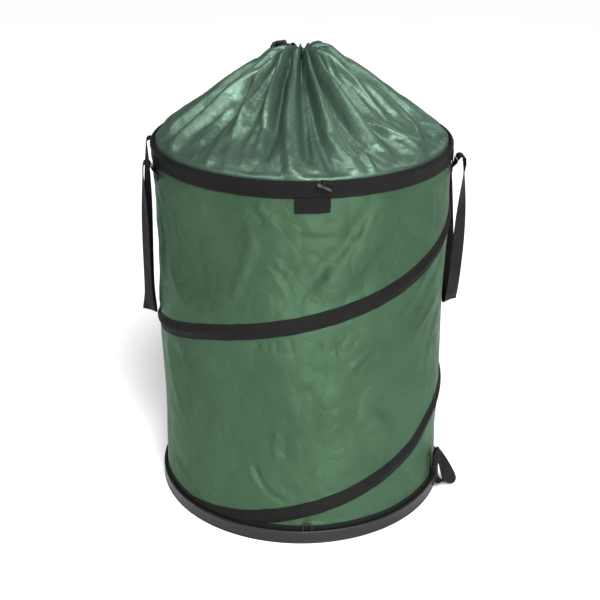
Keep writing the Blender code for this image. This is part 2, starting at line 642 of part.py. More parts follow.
def drawstring():
    """The cord inside the gathered mouth, whose ends run out through the lock to a knot."""
    level = cord_height()
    half = CORD_SPACING / 2
    bottom = ring_height()
    end = level - CORD_END_DROP
    run = CORD_END_RADIUS - CORD_BEND_RADIUS
    outer = [behind_mouth(CORD_END_RADIUS, half, end),
             behind_mouth(CORD_BEND_RADIUS + run * 0.75, half, level - CORD_END_DROP * 0.55),
             behind_mouth(CORD_BEND_RADIUS + run * 0.35, half, level - CORD_END_DROP * 0.12),
             behind_mouth(CORD_BEND_RADIUS, half, level),
             behind_mouth(LOCK_PLACE, half, level),
             behind_mouth(CORD_EXIT_RADIUS, half, level),
             behind_mouth((CORD_EXIT_RADIUS + MOUTH_RADIUS) / 2, half * 1.3, (level + bottom) / 2),
             behind_mouth(MOUTH_RADIUS, NOTCH_WIDTH / 2 - CORD, bottom)]
    count = 28
    opening = 360.0 / count
    ring = [polar(DRAWSTRING_ANGLE + opening * number, MOUTH_RADIUS, bottom)
            for number in range(1, count)]
    inner = [point - 2 * sideways(DRAWSTRING_ANGLE) * point.dot(sideways(DRAWSTRING_ANGLE))
             for point in reversed(outer)]
    route = outer + ring + inner
    make_object("drawstring", tube(route, CORD), (BLACK, 0.85), 70.0)
    bm = bmesh.new()
    bmesh.ops.create_icosphere(bm, subdivisions=2, radius=KNOT_RADIUS)
    across = (half + CORD / 2) / KNOT_RADIUS
    drop = math.sqrt(KNOT_RADIUS ** 2 / 2) + GAP
    spot = behind_mouth(CORD_END_RADIUS + drop, 0.0, end - drop)
    shape = (Matrix.Translation(spot) @ Matrix.Rotation(math.radians(DRAWSTRING_ANGLE), 4, "Z")
             @ Matrix.Diagonal((1.0, max(across, 1.0), 1.0, 1.0)))
    make_object("drawstring_knot", moved(bm, shape), (BLACK, 0.85), 60.0)


def lock_frame():
    """Places a shape modelled along Z so that Z runs across the cords, its zero at the cords."""
    out, across = outward(DRAWSTRING_ANGLE), sideways(DRAWSTRING_ANGLE)
    turn = Matrix((out, across.cross(out), across)).transposed().to_4x4()
    return Matrix.Translation(behind_mouth(LOCK_PLACE, 0.0, cord_height())) @ turn


def slot_tool(name, low, high):
    """A cutter for the passage of the two cords, between two places along the lock."""
    bm = bmesh.new()
    bmesh.ops.create_cube(bm, size=1.0)
    height = CORD + 2 * GAP
    shape = (lock_frame() @ Matrix.Translation((0, 0, (low + high) / 2))
             @ Matrix.Diagonal((2 * (LOCK_RADIUS + OVERRUN), height, high - low, 1.0)))
    return as_cutter(make_object(name, moved(bm, shape), (BLACK, 0.5)))


def cord_lock():
    """The sprung lock on the cords: a barrel, a plunger and the spring between them."""
    half = (CORD_SPACING + CORD) / 2 + GAP
    closed_end = -half - PLUNGER_TAIL - SPRING_ROOM - LOCK_END_WALL
    open_end = closed_end + LOCK_LENGTH
    bore_end = closed_end + LOCK_END_WALL
    edge = LOCK_END_WALL / 2
    outline = [(0.0, closed_end), (LOCK_RADIUS - edge, closed_end), (LOCK_RADIUS, closed_end + edge),
               (LOCK_RADIUS, open_end - edge), (LOCK_RADIUS - edge, open_end), (LOCK_BORE, open_end),
               (LOCK_BORE, bore_end), (0.0, bore_end)]
    barrel = make_object("cord_lock_body", moved(turned(outline, False, 16), lock_frame()), (MOULDED, 0.4))
    boolean(barrel, slot_tool("lock_slot_tool", -half, half), "DIFFERENCE")
    tail = -half - PLUNGER_TAIL
    neck = open_end + PLUNGER_TRAVEL + GAP
    head = neck + PLUNGER_HEAD_LENGTH
    outline = [(0.0, tail), (PLUNGER_RADIUS, tail), (PLUNGER_RADIUS, neck), (PLUNGER_HEAD, neck),
               (PLUNGER_HEAD, head - edge), (PLUNGER_HEAD - edge, head), (0.0, head)]
    plunger = make_object("cord_lock_plunger", moved(turned(outline, False, 12), lock_frame()),
                          (MOULDED, 0.35))
    boolean(plunger, slot_tool("plunger_slot_tool", -half, half + PLUNGER_TRAVEL), "DIFFERENCE")
    start = bore_end + GAP + SPRING_WIRE / 2
    length = tail - GAP - SPRING_WIRE / 2 - start
    points = 8 * SPRING_TURNS
    route = []
    for number in range(points + 1):
        turn = 2 * math.pi * SPRING_TURNS * number / points
        route.append(lock_frame() @ Vector((SPRING_RADIUS * math.cos(turn), SPRING_RADIUS * math.sin(turn),
                                            start + length * number / points)))
    make_object("cord_lock_spring", tube(route, SPRING_WIRE, 4, side=sideways(DRAWSTRING_ANGLE)),
                (STEEL, 0.35, 0.9), 70.0)


def label():
    """The blank woven label that hangs from the rim binding."""
    low = RIM_HEIGHT - LABEL_DROP
    sweep = math.degrees(LABEL_WIDTH / LABEL_INNER)
    count = 8
    sections = []
    for number in range(count + 1):
        angle = LABEL_ANGLE + sweep * (number / count - 0.5)
        sections.append([polar(angle, LABEL_INNER, low), polar(angle, LABEL_INNER + LABEL_CLOTH, low),
                         polar(angle, LABEL_INNER + LABEL_CLOTH, low + LABEL_HEIGHT),
                         polar(angle, LABEL_INNER, low + LABEL_HEIGHT)])
    make_object("label", loft(sections), (BLACK, 0.7))


def handle(side):
    """One carry handle, hanging from its two folds: side is 1 on the right, -1 on the left."""
    name = "right_handle" if side > 0 else "left_handle"
    points, faces = [], []
    for turn in (180, 150, 120, 90, 60, 30):
        run = Vector((math.cos(math.radians(turn)), 0, math.sin(math.radians(turn))))
        points.append(Vector((FOLD_PLACE, HANDLE_SPREAD, FOLD_HEIGHT)) + run * HANDLE_FOLD)
        faces.append(run)
    steps = 3
    leg = FOLD_PLACE + HANDLE_FOLD
    rows = (len(HANDLE_HANG_SHARES) - 1) * steps
    for number in range(rows + 1):
        place = number / steps
        points.append(Vector((leg + HANDLE_BULGE * on_curve(HANDLE_BULGE_SHARES, place),
                              HANDLE_SPREAD * on_curve(HANDLE_SPREAD_SHARES, place),
                              FOLD_HEIGHT - HANDLE_HANG * on_curve(HANDLE_HANG_SHARES, place))))
        faces.append(Vector((1, 0, 0)))
    directions = tangents(points)
    for number in range(rows + 1):
        row = number + len(points) - rows - 1
        twist = math.radians(HANDLE_TWIST * on_curve(HANDLE_TWIST_SHARES, number / steps))
        along = directions[row] if number < rows else Vector((0, -1, 0))
        face = (faces[row] - along * faces[row].dot(along)).normalized()
        faces[row] = Matrix.Rotation(twist, 3, along) @ face
    back = Matrix.Diagonal((1, -1, 1))
    mirrored = [back @ point for point in reversed(points[:-1])]
    middle = faces[-1]
    far_faces = []
    for number, point in enumerate(mirrored):
        row = len(points) - 2 - number
        far_faces.append(back @ faces[row])
    blend = 4
    for number in range(blend):
        share = (number + 1) / (blend + 1)
        far_faces[number] = (middle * (1 - share) + far_faces[number] * share).normalized()
    points, faces = points + mirrored, faces + far_faces
    mirror = Matrix.Diagonal((side, 1, 1))
    points, faces = [mirror @ point for point in points], [mirror @ face for face in faces]
    pivot = mirror @ Vector((FOLD_PLACE, 0, FOLD_HEIGHT))
    make_object(name, strap(points, faces, WEB_WIDTH, WEB), (BLACK, 0.9), 50.0, pivot)
    for end, flip in (("front", -1), ("back", 1)):
        handle_end(f"{name}_end_{end}", side, flip)


def handle_end(name, side, flip):
    """The end of a handle, stitched flat to the rim, with the tongue that leads out to the handle's fold."""
    turn = math.asin(HANDLE_SPREAD / PATCH_MIDDLE)
    low = RIM_HEIGHT - HANDLE_END_DROP
    high = low + HANDLE_END_LENGTH
    root = FOLD_HEIGHT - HANDLE_TONGUE
    lead = FOLD_PLACE - HANDLE_FOLD - WEB - GAP
    middle = PATCH_MIDDLE * math.cos(turn)
    steps = 2
    sections = []
    for number in range(steps + 1):
        shift = WEB_WIDTH * (number / steps - 0.5)
        flat = Vector((middle - shift * math.sin(turn), HANDLE_SPREAD + shift * math.cos(turn), 0))
        out = Vector((math.cos(turn), math.sin(turn), 0)) * WEB / 2
        square = Vector((lead, HANDLE_SPREAD + shift, 0))
        ahead = Vector((WEB / 2, 0, 0))
        bend = (root + FOLD_HEIGHT) / 2
        outline = [(flat - out, low), (flat - out, high), (flat + out, high), (flat + out, root + 2 * WEB),
                   ((flat + out).lerp(square - ahead, 0.7), bend + WEB), (square - ahead, FOLD_HEIGHT),
                   (square + ahead, FOLD_HEIGHT), ((flat + out).lerp(square + ahead, 0.7), bend - WEB),
                   (flat + out, root), (flat + out, low)]
        sections.append([Vector((side * point.x, flip * point.y, height)) for point, height in outline])
    make_object(name, loft(sections), (BLACK, 0.9))


def tipping_loop():
    """The webbing loop near the ground, by which the full bag is tipped out."""
    place = Matrix.Rotation(math.radians(TIPPING_ANGLE), 4, "Z")
    low = TRAY_HEIGHT + GAP
    points = [Vector((TIPPING_TAB_RADIUS, 0, low)), Vector((TIPPING_TAB_RADIUS, 0, TIPPING_TOP + TIPPING_FOLD))]
    bm = strap(points, [Vector((1, 0, 0))] * 2, WEB_WIDTH, WEB)
    make_object("tipping_loop_tab", moved(bm, place), (BLACK, 0.9))
    hinge = Vector((TIPPING_HINGE, 0, TIPPING_TOP))
    fold = []
    for turn in (180, 150, 120, 90, 60, 30, 0):
        bend = math.radians(turn)
        fold.append(hinge + Vector((math.cos(bend), 0, math.sin(bend))) * TIPPING_FOLD)
    loop = [fold[-1]]
    for reach, height in zip(TIPPING_REACH_SHARES, TIPPING_HEIGHT_SHARES):
        loop.append(Vector((TIPPING_INNER + TIPPING_SPREAD * reach, 0,
                            TIPPING_LOW + (TIPPING_TOP - TIPPING_LOW) * height)))
    route = fold + smooth_points(loop + [fold[0]], 2)[1:-1]
    centre = sum(route, Vector()) / len(route)
    turns = [0.0] * len(fold) + smooth_points(list(TIPPING_TWIST_SHARES), 2)[1:-1]
    faces = []
    for along, turn in zip(tangents(route, ring=True), turns):
        twist = Matrix.Rotation(math.radians(TIPPING_TWIST * turn), 3, along)
        faces.append(twist @ along.cross(Vector((0, 1, 0))))
    if faces[4].dot(route[4] - centre) < 0:
        faces = [-face for face in faces]
    bm = moved(strap(route, faces, WEB_WIDTH, WEB, ring=True), place)
    make_object("tipping_loop", bm, (BLACK, 0.9), 50.0, place @ hinge)


def closure(number):
    """A toggle on the rim, with its tab and cord, and the cord loop below it at the base."""
    step = 360.0 * number / CLOSURE_COUNT
    angle = TOGGLE_ANGLE + step
    turn = Matrix.Rotation(math.radians(angle), 4, "Z")
    count = 6
    off = GAP + TAB / 2
    points, faces = [], []
    for row in range(count + 1):
        place = math.radians(TAB_FROM + (TAB_TO - TAB_FROM) * row / count)
        points.append(Vector((BEAD_RADIUS + (BEAD_REACH + off) * math.cos(place), 0,
                              BEAD_HEIGHT + (BEAD_RISE + off) * math.sin(place))))
        faces.append(Vector((math.cos(place), 0, math.sin(place))))
    make_object(f"toggle_tab_{number + 1}", moved(strap(points, faces, TAB_WIDTH, TAB), turn), (BLACK, 0.9))
    eye = points[-1] + faces[-1] * (TAB / 2 + GAP + TOGGLE_CORD / 2)
    tilt = math.radians(TOGGLE_TILT)
    rest = TOGGLE_WAIST / math.cos(tilt) + TOGGLE_CORD / 2 * math.tan(tilt) + 2 * GAP
    waist = Vector((TOGGLE_PLACE, 0, TOGGLE_HEIGHT + rest))
    shift = waist - eye
    route = smooth_points([eye, eye + Vector((shift.x * 0.6, 0, shift.z * 0.12)),
                           eye + Vector((shift.x * 0.96, 0, shift.z * 0.5)), waist], 3)
    route.insert(0, eye - (route[1] - eye).normalized() * TOGGLE_CORD * 0.42)
    bm = moved(tube(route, TOGGLE_CORD, side=Vector((0, 1, 0)), start_share=0.45), turn)
    pivot = turn @ eye
    make_object(f"toggle_cord_{number + 1}", bm, (BLACK, 0.9), 60.0, pivot)
    half, round_end = TOGGLE_LENGTH / 2, TOGGLE_RADIUS / 2
    groove = TOGGLE_CORD + GAP
    profile = [(0.0, -half), (round_end, -half), (TOGGLE_RADIUS * 0.86, round_end / 2 - half),
               (TOGGLE_RADIUS, round_end - half), (TOGGLE_RADIUS, -groove), (TOGGLE_WAIST, -groove * 0.7),
               (TOGGLE_WAIST, groove * 0.7), (TOGGLE_RADIUS, groove), (TOGGLE_RADIUS, half - round_end),
               (TOGGLE_RADIUS * 0.86, half - round_end / 2), (round_end, half), (0.0, half)]
    lean = (turn @ Matrix.Translation((TOGGLE_PLACE, 0, TOGGLE_HEIGHT))
            @ Matrix.Rotation(math.radians(-TOGGLE_TILT), 4, "X") @ Matrix.Rotation(math.radians(90), 4, "X"))
    make_object(f"toggle_{number + 1}", moved(turned(profile, False, 10), lean), (MOULDED, 0.3), 50.0, pivot)
    low = TRAY_HEIGHT + GAP
    arch = [Vector((LOOP_PLACE, LOOP_HALF, low)), Vector((LOOP_PLACE, LOOP_HALF, low + LOOP_LEG / 2))]
    for row in range(9):
        bend = math.pi * row / 8
        arch.append(Vector((LOOP_PLACE, LOOP_HALF * math.cos(bend), low + LOOP_LEG + LOOP_HALF * math.sin(bend))))
    arch += [Vector((LOOP_PLACE, -LOOP_HALF, low + LOOP_LEG / 2)), Vector((LOOP_PLACE, -LOOP_HALF, low))]
    place = Matrix.Rotation(math.radians(LOOP_ANGLE + step), 4, "Z")
    bm = moved(tube(arch, LOOP_CORD, 6, side=Vector((1, 0, 0))), place)
    make_object(f"closure_loop_{number + 1}", bm, (BLACK, 0.9), 60.0)


def main():
    """Builds the bag from the ground up."""
    clear_scene()
    tray = base_tray()
    bottom_panel_and_rivets(tray)
    base_hem()
    bag_wall()
    spiral_spring()
    rim_binding()
    collar()
    drawstring()
    cord_lock()
    label()
    for side in (1, -1):
        handle(side)
    tipping_loop()
    for number in range(CLOSURE_COUNT):
        closure(number)


main()
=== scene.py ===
"""A pop-up garden leaf bag: its finely modelled pieces, their finishes and a plain studio."""
import sys
import logging
from collections.abc import Callable, Sequence
from dataclasses import dataclass
from enum import Enum
from math import acos, asin, cos, degrees, dist, hypot, pi, radians, sin, sqrt, tan

import bmesh
import bpy
import numpy as np
from mathutils import Matrix, Vector


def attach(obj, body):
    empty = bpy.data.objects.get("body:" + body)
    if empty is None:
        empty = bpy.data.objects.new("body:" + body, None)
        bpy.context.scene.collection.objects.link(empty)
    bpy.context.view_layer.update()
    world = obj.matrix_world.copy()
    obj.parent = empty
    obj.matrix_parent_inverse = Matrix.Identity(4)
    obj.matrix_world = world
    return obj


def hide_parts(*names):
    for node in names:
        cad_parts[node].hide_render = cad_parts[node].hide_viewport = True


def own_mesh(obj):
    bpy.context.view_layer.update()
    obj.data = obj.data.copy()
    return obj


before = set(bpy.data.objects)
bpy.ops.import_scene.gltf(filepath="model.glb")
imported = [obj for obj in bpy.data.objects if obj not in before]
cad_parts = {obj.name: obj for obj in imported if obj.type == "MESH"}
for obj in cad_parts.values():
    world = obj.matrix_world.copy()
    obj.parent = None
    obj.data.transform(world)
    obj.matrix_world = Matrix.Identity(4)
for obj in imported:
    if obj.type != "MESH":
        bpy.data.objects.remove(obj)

Pair = tuple[float, float]
Triple = tuple[float, float, float]
Numbers = tuple[float, ...]
Rumple = tuple[float, float, int, float]  # rumples' depth, distance, random seed and stretch
Mesh = bmesh.types.BMesh
Socket = bpy.types.NodeSocket
Grid = np.ndarray
Piece = bpy.types.Object
Curved = float | Vector | Grid
Value = float | Socket
Colour = Triple | Socket

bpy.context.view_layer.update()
WELD = 0.000001  # points closer than this are one point
UP = Vector((0, 0, 1))
STITCH = 0.0024  # a stitch's length
STITCH_THREAD = 0.0005  # its width
STITCH_LIFT = 0.00005  # how far a stitch's middle stands off the cloth
BOX_PITCH = 0.003  # distance between stitches in a sewn box
BOX_STITCH = 0.0023  # length of such a stitch
BOX_MARGIN = 0.0035  # how far the box stays inside the webbing's edge
RUMPLE_MIDDLE = 0.3  # rumple()'s usual height, which is taken off it
report = logging.getLogger("leaf_bag")


# -------- places and curves

def polar(angle: float, radius: float, height: float) -> Vector:
    """The point at an angle in degrees, a distance from the bag's axis and a height."""
    turn = radians(angle)
    return Vector((radius * cos(turn), radius * sin(turn), height))


def outward(angle: float) -> Vector:
    """The unit vector that points away from the axis at an angle."""
    return polar(angle, 1.0, 0.0)


def sideways(angle: float) -> Vector:
    """The unit vector along the circle at an angle, counter-clockwise."""
    return outward(angle + 90.0)


def round_grid(turn: Grid, radius: Grid, height: Grid) -> Grid:
    """The points at angles in radians, distances from the bag's axis and heights."""
    return np.stack([radius * np.cos(turn), radius * np.sin(turn), height], axis=-1)


def run_lengths(across: Sequence[float], up: Sequence[float]) -> Grid:
    """How far along a line each of its points lies."""
    return np.concatenate([[0.0], np.cumsum(np.hypot(np.diff(across), np.diff(up)))])


def smoothstep(low: float, high: float, value: Grid) -> Grid:
    """Rises smoothly from 0 at low to 1 at high."""
    part = np.clip((value - low) / (high - low), 0.0, 1.0)
    return part * part * (3.0 - 2.0 * part)


def cubic(start: Curved, end: Curved, slope_start: Curved, slope_end: Curved, part: float) -> Curved:
    """Reads a smooth curve between two values.

    Args:
        start: the first value.
        end: the last value.
        slope_start: the curve's slope at the start.
        slope_end: its slope at the end.
        part: where to read it, from 0 to 1.

    Returns:
        The value there.
    """
    square, cube = part * part, part * part * part
    return (start * (2 * cube - 3 * square + 1) + slope_start * (cube - 2 * square + part)
        + end * (3 * square - 2 * cube) + slope_end * (cube - square))


def on_curve(values: Sequence[Curved], place: float) -> Curved:
    """Reads a smooth curve through evenly numbered values.

    Args:
        values: the numbers or points that the curve passes.
        place: where to read it, from 0 to the last value's number.

    Returns:
        The number or point at that place.
    """
    last = len(values) - 1
    low = max(0, min(int(place), last - 1))
    before, start = values[max(low - 1, 0)], values[low]
    end, after = values[low + 1], values[min(low + 2, last)]
    return cubic(start, end, (end - before) / 2, (after - start) / 2, place - low)


def between(xs: Sequence[float], ys: Sequence[float], x: float) -> float:
    """Reads a smooth curve through points.

    Args:
        xs: the points' places, which rise.
        ys: their values.
        x: where to read it.

    Returns:
        The value at x.
    """
    low = 0
    while low < len(xs) - 2 and x > xs[low + 1]:
        low += 1
    before, after = max(low - 1, 0), min(low + 2, len(xs) - 1)
    width = xs[low + 1] - xs[low]
    slope_start = (ys[low + 1] - ys[before]) / (xs[low + 1] - xs[before])
    slope_end = (ys[after] - ys[low]) / (xs[after] - xs[low])
    return cubic(ys[low], ys[low + 1], slope_start * width, slope_end * width, (x - xs[low]) / width)


def smooth_route(points: Sequence[Vector], steps: int) -> list[Vector]:
    """Points along a smooth curve, with so many steps from each given point to the next."""
    count = (len(points) - 1) * steps
    return [on_curve(points, number / steps) for number in range(count + 1)]


def tangents(points: Sequence[Vector], ring: bool = False) -> list[Vector]:
    """Finds the unit directions along a row of points.

    Args:
        points: the row.
        ring: whether it joins its own start.

    Returns:
        One direction for each point.
    """
    last = len(points) - 1
    rows = []
    for number in range(len(points)):
        before = points[number - 1] if ring or number else points[0]
        after = points[(number + 1) % len(points)] if ring or number < last else points[last]
        rows.append((after - before).normalized())
    return rows


def rounded(corners: Sequence[Pair], radius: float, steps: int = 3, closed: bool = True) -> list[Pair]:
    """Rounds the corners of an outline.

    Args:
        corners: the outline's corners, in order.
        radius: how far from each corner the rounding starts.
        steps: the number of short edges that a corner is made of.
        closed: whether the outline joins its end to its start.

    Returns:
        The points of the rounded outline.
    """
    points: list[Pair] = []
    count = len(corners)
    for number, corner in enumerate(corners):
        if not closed and number in (0, count - 1):
            points.append(corner)
            continue
        here = Vector((*corner, 0.0))
        before = Vector((*corners[number - 1], 0.0)) - here
        after = Vector((*corners[(number + 1) % count], 0.0)) - here
        reach = min(radius, before.length * 0.45, after.length * 0.45)
        start, end = here + before.normalized() * reach, here + after.normalized() * reach
        for step in range(steps + 1):
            part = step / steps
            point = start.lerp(here, part).lerp(here.lerp(end, part), part)
            points.append((point.x, point.y))
    return points


# -------- meshes

def turned(outline: Sequence[Pair], steps: int, closed: bool = False) -> Mesh:
    """Turns an outline about the Z axis.

    Args:
        outline: points as (distance from the axis, height).
        steps: the number of faces round the axis.
        closed: whether the outline is a ring of its own.

    Returns:
        The turned solid.
    """
    bm = bmesh.new()
    points = [bm.verts.new((radius, 0.0, height)) for radius, height in outline]
    lines = [bm.edges.new(pair) for pair in zip(points[:-1], points[1:])]
    if closed:
        lines.append(bm.edges.new((points[-1], points[0])))
    bmesh.ops.spin(bm, geom=points + lines, cent=(0, 0, 0), axis=(0, 0, 1), angle=2 * pi, steps=steps,
        use_merge=True)
    bmesh.ops.remove_doubles(bm, verts=bm.verts, dist=WELD)
    bmesh.ops.recalc_face_normals(bm, faces=bm.faces)
    return bm


def wrapped(places: Grid, weave: Grid, caps: bool = False) -> Mesh:
    """Wraps a flat grid over a shape, and welds it where it meets itself.

    Args:
        places: the grid's points, as rows x columns x 3, in metres.
        weave: where each point is on the flat cloth, as rows x columns x 2, in metres.
        caps: whether the two ends of a tube are closed.

    Returns:
        The wrapped surface, whose weave is its UV map.
    """
    rows, columns = places.shape[0] - 1, places.shape[1] - 1
    bm = bmesh.new()
    bmesh.ops.create_grid(bm, x_segments=columns, y_segments=rows, size=0.5)
    layer = bm.loops.layers.uv.new("weave")
    spots = {}
    for vertex in bm.verts:
        spots[vertex] = (round((vertex.co.y + 0.5) * rows), round((vertex.co.x + 0.5) * columns))
    for face in bm.faces:
        for loop in face.loops:
            loop[layer].uv = weave[spots[loop.vert]]
    for vertex, spot in spots.items():
        vertex.co = places[spot]
    bmesh.ops.remove_doubles(bm, verts=bm.verts, dist=WELD)
    if caps:
        open_edges = [edge for edge in bm.edges if edge.is_boundary]
        bmesh.ops.holes_fill(bm, edges=open_edges, sides=0)
    bm.normal_update()
    return bm


def ring_grid(outline: Sequence[Pair], steps: int) -> tuple[Grid, Grid, Grid, Grid]:
    """Spreads a closed outline round the bag, as a grid.

    Args:
        outline: its points, as (distance from the axis, height).
        steps: the number of faces round the bag.

    Returns:
        The angle in radians, radius, height and weave of each point.
    """
    profile = np.array([*outline, outline[0]])
    girth = run_lengths(profile[:, 0], profile[:, 1])
    around, columns = np.linspace(0.0, 2 * pi, steps + 1), np.arange(len(profile))
    turn, column = np.meshgrid(around, columns, indexing="ij")
    weave = np.stack([girth[column], turn * TAPE_OUTER], axis=-1)
    return turn, profile[column, 0], profile[column, 1], weave


def face_away(bm: Mesh) -> Mesh:
    """Turns an open sheet so that its faces point away from the bag's axis.

    Args:
        bm: the sheet.

    Returns:
        The same sheet.
    """
    total = 0.0
    for face in bm.faces:
        spot = face.calc_center_median()
        total += face.normal.dot(Vector((spot.x, spot.y, 0.0)).normalized()) * face.calc_area()
    if total < 0.0:
        bmesh.ops.reverse_faces(bm, faces=bm.faces)
    return bm


def finished(name: str, bm: Mesh, crease: float = 50.0, closed: bool = True) -> Piece:
    """Makes an object from a bmesh, smooth but for its sharp edges.

    Args:
        name: the piece's name.
        bm: its mesh, which is used up.
        crease: edges that turn more than this many degrees stay sharp.
        closed: whether it is a closed body, whose faces are all turned outwards.

    Returns:
        The new object, at the origin.
    """
    if closed:
        bmesh.ops.recalc_face_normals(bm, faces=bm.faces)
    bm.normal_update()
    limit = radians(crease)
    for face in bm.faces:
        face.smooth = True
    for edge in bm.edges:
        if len(edge.link_faces) == 2:
            edge.smooth = edge.calc_face_angle(0.0) < limit
    mesh = bpy.data.meshes.new(name)
    bm.to_mesh(mesh)
    bm.free()
    piece = bpy.data.objects.new(name, mesh)
    bpy.context.scene.collection.objects.link(piece)
    return piece


def moved(bm: Mesh, matrix: Matrix) -> Mesh:
    """Places a bmesh."""
    bmesh.ops.transform(bm, matrix=matrix, verts=bm.verts)
    return bm


def lofted(points: Sequence[Vector], faces: Sequence[Vector], section: Sequence[Pair],
        ring: bool = False) -> Mesh:
    """Runs a closed section along a row of points.

    Args:
        points: the middle of the section at each step.
        faces: the direction that the section's second axis points in at each step.
        section: the outline, as (across, out).
        ring: whether the row of points joins its own start.

    Returns:
        A closed body whose weave runs along it.
    """
    directions = tangents(points, ring)
    outline = list(section) + [section[0]]
    girth = run_lengths(*zip(*outline))
    rows, weave, length = [], [], 0.0
    steps = len(points) + (1 if ring else 0)
    for number in range(steps):
        point, along = points[number % len(points)], directions[number % len(points)]
        face = faces[number % len(points)]
        across = face.cross(along).normalized()
        out = along.cross(across)
        if number:
            length += (point - points[number - 1]).length
        rows.append([point + across * x + out * y for x, y in outline])
        weave.append([(turn, length) for turn in girth])
    return wrapped(np.array(rows), np.array(weave), caps=not ring)


def strap(points: Sequence[Vector], faces: Sequence[Vector], width: float, thickness: float,
        ring: bool = False) -> Mesh:
    """Runs flat webbing with rounded selvedges along a row of points.

    Args:
        points: its middle line.
        faces: the direction that it faces at each point.
        width: of the webbing.
        thickness: in its middle, which falls off at the two edges.
        ring: whether it joins its own start.

    Returns:
        The webbing.
    """
    half, deep = width / 2, thickness / 2
    edge = min(half * 0.3, thickness)
    section = [(-half + edge, deep), (-half * 0.3, deep), (half * 0.3, deep), (half - edge, deep),
        (half - edge * 0.25, deep * 0.75), (half, deep * 0.2), (half, -deep * 0.2),
        (half - edge * 0.25, -deep * 0.75), (half - edge, -deep), (half * 0.3, -deep), (-half * 0.3, -deep),
        (-half + edge, -deep), (-half + edge * 0.25, -deep * 0.75), (-half, -deep * 0.2),
        (-half, deep * 0.2), (-half + edge * 0.25, deep * 0.75)]
    return lofted(points, faces, section, ring)


def tube(points: Sequence[Vector], diameter: float, sides: int = 14, ring: bool = False,
        side: Vector = UP) -> Mesh:
    """Runs a round cord along a row of points.

    Args:
        points: its middle line.
        diameter: of the cord.
        sides: the number of faces round it.
        ring: whether it joins its own start.
        side: the direction where its weave starts.

    Returns:
        The cord.
    """
    section = [(cos(2 * pi * number / sides) * diameter / 2, sin(2 * pi * number / sides) * diameter / 2)
        for number in range(sides)]
    faces = []
    for along in tangents(points, ring):
        face = side - along * side.dot(along)
        if face.length < 0.1:
            face = Vector((along.y, -along.x, 0.0)) if abs(along.z) < 0.9 else Vector((1, 0, 0))
            face -= along * face.dot(along)
        faces.append(face.normalized())
    return lofted(points, faces, section, ring)


def stitches(bm: Mesh, places: Sequence[tuple[Vector, Vector, Vector]], length: float = STITCH,
        thread: float = STITCH_THREAD) -> Mesh:
    """Adds short stitches to a mesh.

    Args:
        bm: the mesh that takes them.
        places: each stitch's middle, its direction and the direction that the cloth faces.
        length: of one stitch.
        thread: its width.

    Returns:
        The same mesh.
    """
    for spot, along, face in places:
        across = face.cross(along).normalized()
        turn = Matrix((along.normalized() * length / 2, across * thread / 2,
            face.normalized() * thread * 0.35)).transposed().to_4x4()
        bmesh.ops.create_icosphere(bm, subdivisions=1, radius=1.0, matrix=Matrix.Translation(spot) @ turn)
    return bm


def seam_places(place: Callable[[float], Vector], start: float, end: float, pitch: float,
        face: Callable[[float], Vector]) -> list[tuple[Vector, Vector, Vector]]:
    """Spaces stitches evenly along a line.

    Args:
        place: the line's point at a parameter.
        start: the first parameter.
        end: the last parameter.
        pitch: the distance between two stitches' middles.
        face: the direction that the cloth faces at a parameter.

    Returns:
        What stitches() takes.
    """
    samples = [place(start + (end - start) * number / 400) for number in range(401)]
    length = sum((b - a).length for a, b in zip(samples[:-1], samples[1:]))
    count = max(2, round(length / pitch))
    rows = []
    for number in range(count):
        where = start + (end - start) * (number + 0.5) / count
        step = (end - start) * 0.2 / count
        rows.append((place(where), place(where + step) - place(where - step), face(where)))
    return rows


def crossed_box(bm: Mesh, base: Vector, across: Vector, face: Vector, half: float, low: float,
        high: float) -> Mesh:
    """Sews a box with a cross in it, as webbing is fastened.

    Args:
        bm: the mesh that takes the stitches.
        base: the point that heights are measured from, midway across the webbing.
        across: the direction across the webbing.
        face: the direction that the webbing faces.
        half: half the box's width.
        low: the box's foot above the base.
        high: its top above the base.

    Returns:
        The same mesh.
    """
    sides = ((-half, low, half, low), (half, low, half, high), (half, high, -half, high),
        (-half, high, -half, low), (-half, low, half, high), (-half, high, half, low))
    for start_x, start_z, end_x, end_z in sides:
        start = base + across * start_x + UP * start_z
        end = base + across * end_x + UP * end_z
        row = seam_places(lambda part: start.lerp(end, part), 0.0, 1.0, BOX_PITCH, lambda part: face)
        stitches(bm, row, BOX_STITCH)
    return bm


def cut_level(bm: Mesh, height: float, keep_above: bool) -> Mesh:
    """Cuts a body off level, and closes the cut.

    Args:
        bm: the body.
        height: of the cut.
        keep_above: whether the part above the cut stays, or the part below.

    Returns:
        The same body.
    """
    made = bmesh.ops.bisect_plane(bm, geom=bm.verts[:] + bm.edges[:] + bm.faces[:], dist=WELD,
        plane_co=(0, 0, height), plane_no=(0, 0, 1), clear_inner=keep_above, clear_outer=not keep_above)
    edges = [item for item in made["geom_cut"] if isinstance(item, bmesh.types.BMEdge)]
    bmesh.ops.holes_fill(bm, edges=edges, sides=0)
    return bm


def bored(piece: Piece, cutter: Piece) -> Piece:
    """Cuts one piece with another.

    Args:
        piece: what is cut.
        cutter: the shape that is taken away, which is used up.

    Returns:
        The cut piece.
    """
    cut = piece.modifiers.new("passage", "BOOLEAN")
    cut.operation, cut.solver, cut.object = "DIFFERENCE", "EXACT", cutter
    shaped = piece.evaluated_get(bpy.context.evaluated_depsgraph_get())
    mesh = bpy.data.meshes.new_from_object(shaped)
    piece.modifiers.clear()
    piece.data = mesh
    bpy.data.objects.remove(cutter)
    return piece


# -------- finishes

class Pattern(Enum):
    """The ways in which a textile's threads run."""
    PLAIN = "plain weave"
    RIBBED = "ribs across the tape"
    HERRINGBONE = "columns of slanting threads"
    BRAID = "a round braid"
    SATIN = "long floats"


